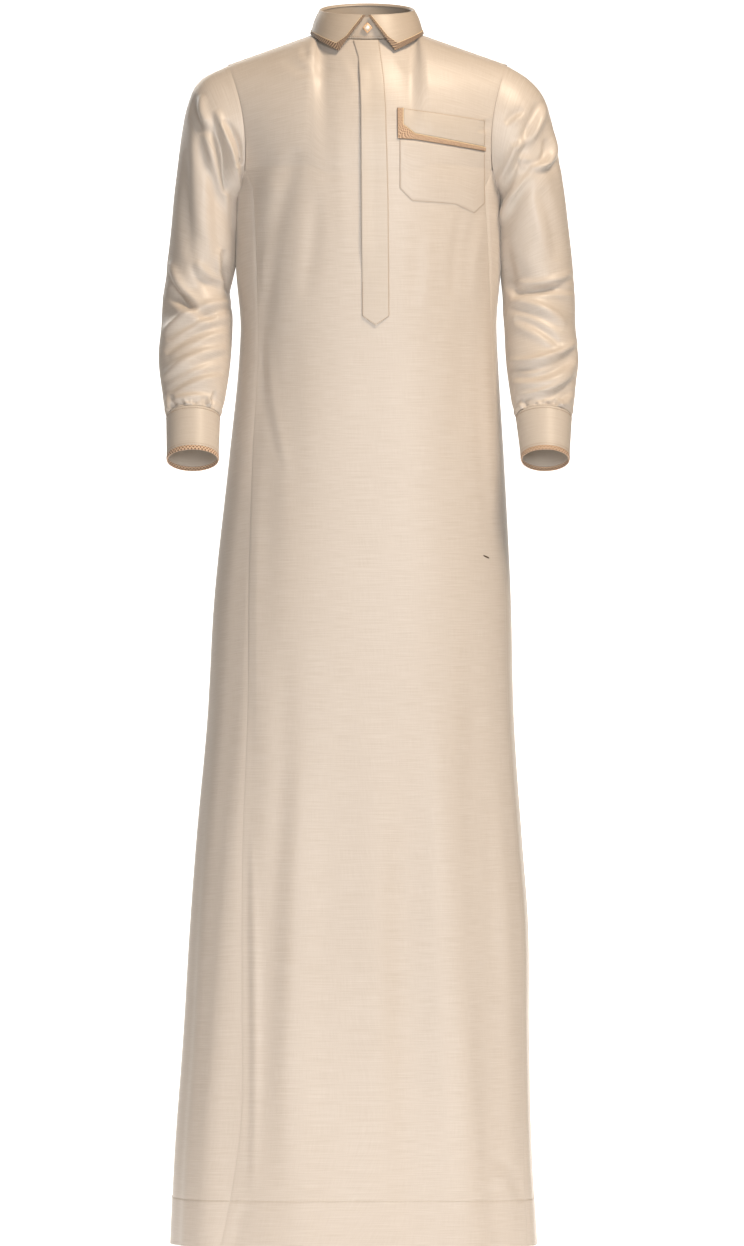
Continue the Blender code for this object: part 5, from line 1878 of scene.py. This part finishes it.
@dataclass
class Sewing:
    """Where the robe is stitched: placket, pocket, hem, cuffs, armholes, collar and a bar tack."""

    body: BodyForm
    sleeves: dict[Side, SleeveForm]
    collar: Collar
    details: FrontDetails
    finishes: Wardrobe
    inset: float = 0.0012
    placket_lift: float = 0.0009
    pocket_lift: float = 0.0001
    right_row_top_z: float = -0.330
    hem_lift: float = 0.0002
    cuff_rows: tuple[float, float] = (0.07, 0.915)
    cuff_lift: float = 0.0005
    gusset_rows: tuple[float, float] = (1.90, 1.80)
    gusset_lift: float = 0.0004
    stand_row: float = 0.10
    tack_start: tuple[float, float] = (0.1545, -0.6960)
    tack_end: tuple[float, float] = (0.1680, -0.7020)
    tack_step: float = 0.0006

    def front_line(self, stitching: Stitching, corners: Sequence[tuple[float, float]],
                   lift: float) -> None:
        """A row of stitches over the front through corners given as x and z."""
        corners = np.array(corners)
        runs = [np.linspace(a, b, 40, endpoint=False) for a, b in zip(corners[:-1], corners[1:])]
        path = np.concatenate([*runs, corners[-1:]])
        stitching.add(self.body.on_front(path[:, 0], path[:, 1], lift))

    def placket_and_pocket(self, stitching: Stitching) -> None:
        """The stitches round the placket and the pocket."""
        inset = self.inset
        lift = self.details.placket_lift + self.placket_lift
        left = [(row[2] - inset, row[0]) for row in PLACKET_ROWS[:-1]]
        corner_z, right_x = PLACKET_ROWS[-2][0], PLACKET_ROWS[-2][1] + inset
        tip = (PLACKET_ROWS[-1][1] + inset / 2, PLACKET_ROWS[-1][0] + inset * 1.4)
        self.front_line(stitching, [*left, tip], lift)
        right = [tip, (right_x, corner_z), (right_x, self.right_row_top_z)]
        self.front_line(stitching, right, lift)
        first, last = POCKET_LOW[0], POCKET_LOW[-1]
        bag = [(first[0] + inset, POCKET_TOP[0][1]), (first[0] + inset, first[1] + inset)]
        bag += [(x, z + inset) for x, z in POCKET_LOW[1:-1]]
        bag += [(last[0] - inset, last[1] + inset), (last[0] - inset, POCKET_TOP[-1][1])]
        self.front_line(stitching, bag, self.details.pocket_lift + self.pocket_lift)
        start, corner, last = FLAP_TOP[0], FLAP_TOP[1], FLAP_LOW[-1]
        flap = [(start[0], start[1] - inset), (corner[0] - inset, corner[1] - inset),
                (last[0] - inset, last[1] + inset)]
        self.front_line(stitching, flap, self.details.flap_lift + self.pocket_lift)

    def hem(self, stitching: Stitching) -> None:
        """The hem's row, all round."""
        z = np.full(400, HEM_FOLD_Z)
        up = (z - HEM_Z) / (CHEST_Z - HEM_Z)
        across = np.linspace(0.01, 0.99, 400)
        stitching.add(self.body.front(across, up) + np.array([0, -self.hem_lift, 0]))
        stitching.add(self.body.back(across, up) + np.array([0, self.hem_lift, 0]))
        for side in Side:
            outward = np.array([side.sign * self.hem_lift, 0, 0])
            stitching.add(self.body.side(side, across[::2], z[::2]) + outward)

    def cuffs(self, stitching: Stitching) -> None:
        """A row below each cuff's upper edge and one above its edging."""
        turn = np.linspace(0, 2 * math.pi, 160)
        for form in self.sleeves.values():
            for down in self.cuff_rows:
                row = form.cuff(turn, np.full_like(turn, down), inset=-self.cuff_lift)
                stitching.add(row)

    def armholes(self, stitching: Stitching) -> None:
        """Two rows on each gusset, beside the armhole."""
        across = np.linspace(0.02, 0.98, 60)
        for side in Side:
            for up in self.gusset_rows:
                point = self.body.gusset(side, across, np.full_like(across, up))
                stitching.add(point + np.array([side.sign * self.gusset_lift, 0, 0]))

    def collar_rows(self, stitching: Stitching) -> None:
        """The row along the foot of the stand."""
        angle = self.collar.form.start + np.linspace(0.01, 2 * math.pi - 0.015, 220)
        point = self.collar.form.stand(angle, np.full_like(angle, self.stand_row))
        stitching.add(point + self.hem_lift * level_away(point))

    def bar_tack(self) -> None:
        """The short dark bar tack over the left side seam, at the opening of the side pocket."""
        tack = Stitching(length=0.013, gap=0.001, radius=0.00042)
        for k in range(3):
            path = np.linspace(self.tack_start, self.tack_end, 12)
            path = path - np.array([0, self.tack_step * k])
            tack.add(self.body.on_front(path[:, 0], path[:, 1], self.hem_lift))
        tack.build("bar_tack", self.finishes.dark_thread, Slot.CLOTH)

    def build(self) -> None:
        """Sews everything."""
        stitching = Stitching()
        self.placket_and_pocket(stitching)
        self.cuffs(stitching)
        self.armholes(stitching)
        self.collar_rows(stitching)
        stitching.build("topstitching", self.finishes.thread, Slot.CLOTH)
        pale = Stitching()
        self.hem(pale)
        pale.build("hem_stitching", self.finishes.pale_thread, Slot.CLOTH)
        self.bar_tack()


@dataclass
class Stud:
    """The diamond stud that closes the collar: a metal rim round a pearly face."""

    finishes: Wardrobe
    shift: tuple[float, float, float] = (0.0006, -0.0002, -0.0020)
    growth: float = 1.15
    rim: float = 0.0014
    sink: float = 0.0005
    seat: float = 0.0003
    crown: float = 0.0009
    crown_inset: float = 0.0009
    crown_top: float = 0.0004
    face_share: float = 0.33
    bevel: float = 0.0004
    smooth: float = math.radians(35)

    def build(self) -> Piece:
        """Turns a four-sided cylinder into the stud by inset, extrude and bevel."""
        low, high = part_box("collar_stud")
        low, high = np.array(low), np.array(high)
        middle = (low + high) / 2 + np.array(self.shift)
        size = (high - low) * np.array([self.growth, 1.0, self.growth])
        deselect()
        bpy.ops.mesh.primitive_cylinder_add(vertices=4, radius=0.5, depth=size[1],
                                            rotation=(math.pi / 2, 0, 0))
        piece = bpy.context.object
        piece.name = piece.data.name = "stud"
        bpy.ops.object.transform_apply(location=True, rotation=True, scale=True)
        edit_all(piece)
        bpy.ops.transform.resize(value=(size[0], 1.0, size[2]), center_override=(0, 0, 0))
        self.select_front(piece)
        bpy.ops.mesh.inset(thickness=self.rim)
        bpy.ops.mesh.extrude_region_move(TRANSFORM_OT_translate={"value": (0, self.sink, 0)})
        bpy.ops.mesh.inset(thickness=self.seat)
        bpy.ops.mesh.extrude_region_move(TRANSFORM_OT_translate={"value": (0, -self.crown, 0)})
        bpy.ops.mesh.inset(thickness=self.crown_inset)
        bpy.ops.transform.translate(value=(0, -self.crown_top, 0))
        bpy.ops.mesh.select_all(action="SELECT")
        bpy.ops.transform.translate(value=tuple(middle))
        bpy.ops.object.mode_set(mode="OBJECT")
        piece.data.materials.append(self.finishes.rim)
        piece.data.materials.append(self.finishes.pearl)
        for face in piece.data.polygons:
            off = [abs(face.center[k] - middle[k]) / size[k] for k in (0, 2)]
            in_front = face.center.y < middle[1] - size[1] * 0.3
            face.material_index = int(sum(off) < self.face_share and in_front)
        edges = piece.modifiers.new("edges", "BEVEL")
        edges.width = self.bevel
        edges.segments = 2
        edges.limit_method = "ANGLE"
        bpy.ops.object.modifier_apply(modifier=edges.name)
        bpy.ops.object.shade_smooth_by_angle(angle=self.smooth)
        return dress(piece, Slot.PEARL, "collar_stud")

    def select_front(self, piece: Piece) -> None:
        """Selects the face that looks along -Y."""
        bpy.ops.mesh.select_all(action="DESELECT")
        bpy.ops.object.mode_set(mode="OBJECT")
        for face in piece.data.polygons:
            face.select = face.normal.y < -0.9
        bpy.ops.object.mode_set(mode="EDIT")
        bpy.ops.mesh.select_mode(type="FACE")


@dataclass
class Studio:
    """The pale floor and backdrop, soft lights and the camera."""

    floor_z: float = -1.66
    paper_half: float = 1.3
    paper_run: float = 14.0
    paper_front: float = 9.5
    bend_start: float = 2.5
    bend_radius: float = 1.5
    wall_stretch: float = 4.5
    world_colour: Colour = (1.0, 0.86, 0.72)
    world_strength: float = 0.10
    sight: float = 60.0
    camera_x: float = 0.0067
    camera_z: float = -0.787
    distance: float = 20.0
    frame_height: float = 1.670
    sensor: float = 36.0

    def backdrop(self) -> Piece:
        """A sheet of pale paper: floor, curve and wall."""
        deselect()
        bpy.ops.mesh.primitive_grid_add(x_subdivisions=2, y_subdivisions=48, size=2)
        paper = bpy.context.object
        paper.name = paper.data.name = "paper_backdrop"
        for vertex in paper.data.vertices:
            x, t = vertex.co.x, (vertex.co.y + 1) / 2
            run = self.paper_run * t - self.paper_front
            bend = min(max((run - self.bend_start) / self.bend_radius, 0.0), 1.0) * math.pi / 2
            rise = max(run - self.bend_start - self.bend_radius, 0.0) * self.wall_stretch
            y = min(run, self.bend_start) + self.bend_radius * math.sin(bend)
            z = self.floor_z + self.bend_radius * (1 - math.cos(bend)) + rise
            vertex.co = (x * self.paper_half, y, z)
        bpy.ops.object.shade_smooth()
        paper.data.materials.append(PaperFinish().build())
        return paper

    def lamp(self, name: str, place: Sequence[float], aim: Sequence[float], size: float, watts: float,
             colour: Sequence[float]) -> None:
        """A square soft light aimed at a point."""
        bpy.ops.object.light_add(type="AREA", location=place)
        lamp = bpy.context.object
        lamp.name = lamp.data.name = name
        lamp.data.size = size
        lamp.data.energy = watts
        lamp.data.color = colour
        away = np.array(aim) - np.array(place)
        tilt = math.pi / 2 + math.atan2(away[2], math.hypot(away[0], away[1]))
        lamp.rotation_euler = (tilt, 0, math.atan2(-away[0], away[1]))

    def lights(self) -> None:
        """A key and a fill from the front, a warm lamp over the left shoulder and two weak ones."""
        for row in LAMP_ROWS:
            self.lamp(*row)
        world = bpy.data.worlds.new("studio")
        world.use_nodes = True
        background = world.node_tree.nodes["Background"]
        background.inputs["Color"].default_value = (*self.world_colour, 1.0)
        background.inputs["Strength"].default_value = self.world_strength
        bpy.context.scene.world = world

    def camera(self) -> None:
        """A long lens, level, square to the front."""
        bpy.ops.object.camera_add(location=(self.camera_x, -self.distance, self.camera_z),
                                  rotation=(math.pi / 2, 0, 0))
        camera = bpy.context.object
        camera.name = camera.data.name = "camera"
        camera.data.sensor_width = self.sensor
        camera.data.lens = self.sensor * self.distance / self.frame_height
        camera.data.clip_end = self.sight
        bpy.context.scene.camera = camera

    def build(self) -> None:
        """Builds the studio."""
        self.backdrop()
        self.lights()
        self.camera()
        bpy.context.scene.view_settings.view_transform = "Standard"


def main() -> None:
    """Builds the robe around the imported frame, then the studio."""
    logging.basicConfig(level=logging.INFO, format="%(message)s")
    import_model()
    finishes = Wardrobe()
    right_folds = FoldSet(SLEEVE_RIGHT_FOLDS, SLEEVE_FOLD_STRENGTH)
    left_folds = FoldSet(SLEEVE_LEFT_FOLDS, SLEEVE_FOLD_STRENGTH)
    sleeves = {
        Side.RIGHT: SleeveForm(Side.RIGHT, SLEEVE_RIGHT, right_folds, CUFF_RIGHT),
        Side.LEFT: SleeveForm(Side.LEFT, SLEEVE_LEFT, left_folds, CUFF_LEFT),
    }
    body = BodyForm(sleeves)
    Robe(body, finishes).build()
    for form in sleeves.values():
        Sleeve(form, finishes).build()
    collar = Collar(CollarForm(body), finishes)
    collar.build()
    details = FrontDetails(body, finishes)
    details.build()
    Sewing(body, sleeves, collar, details, finishes).build()
    Stud(finishes).build()
    Studio().build()


if __name__ == "__main__":
    main()
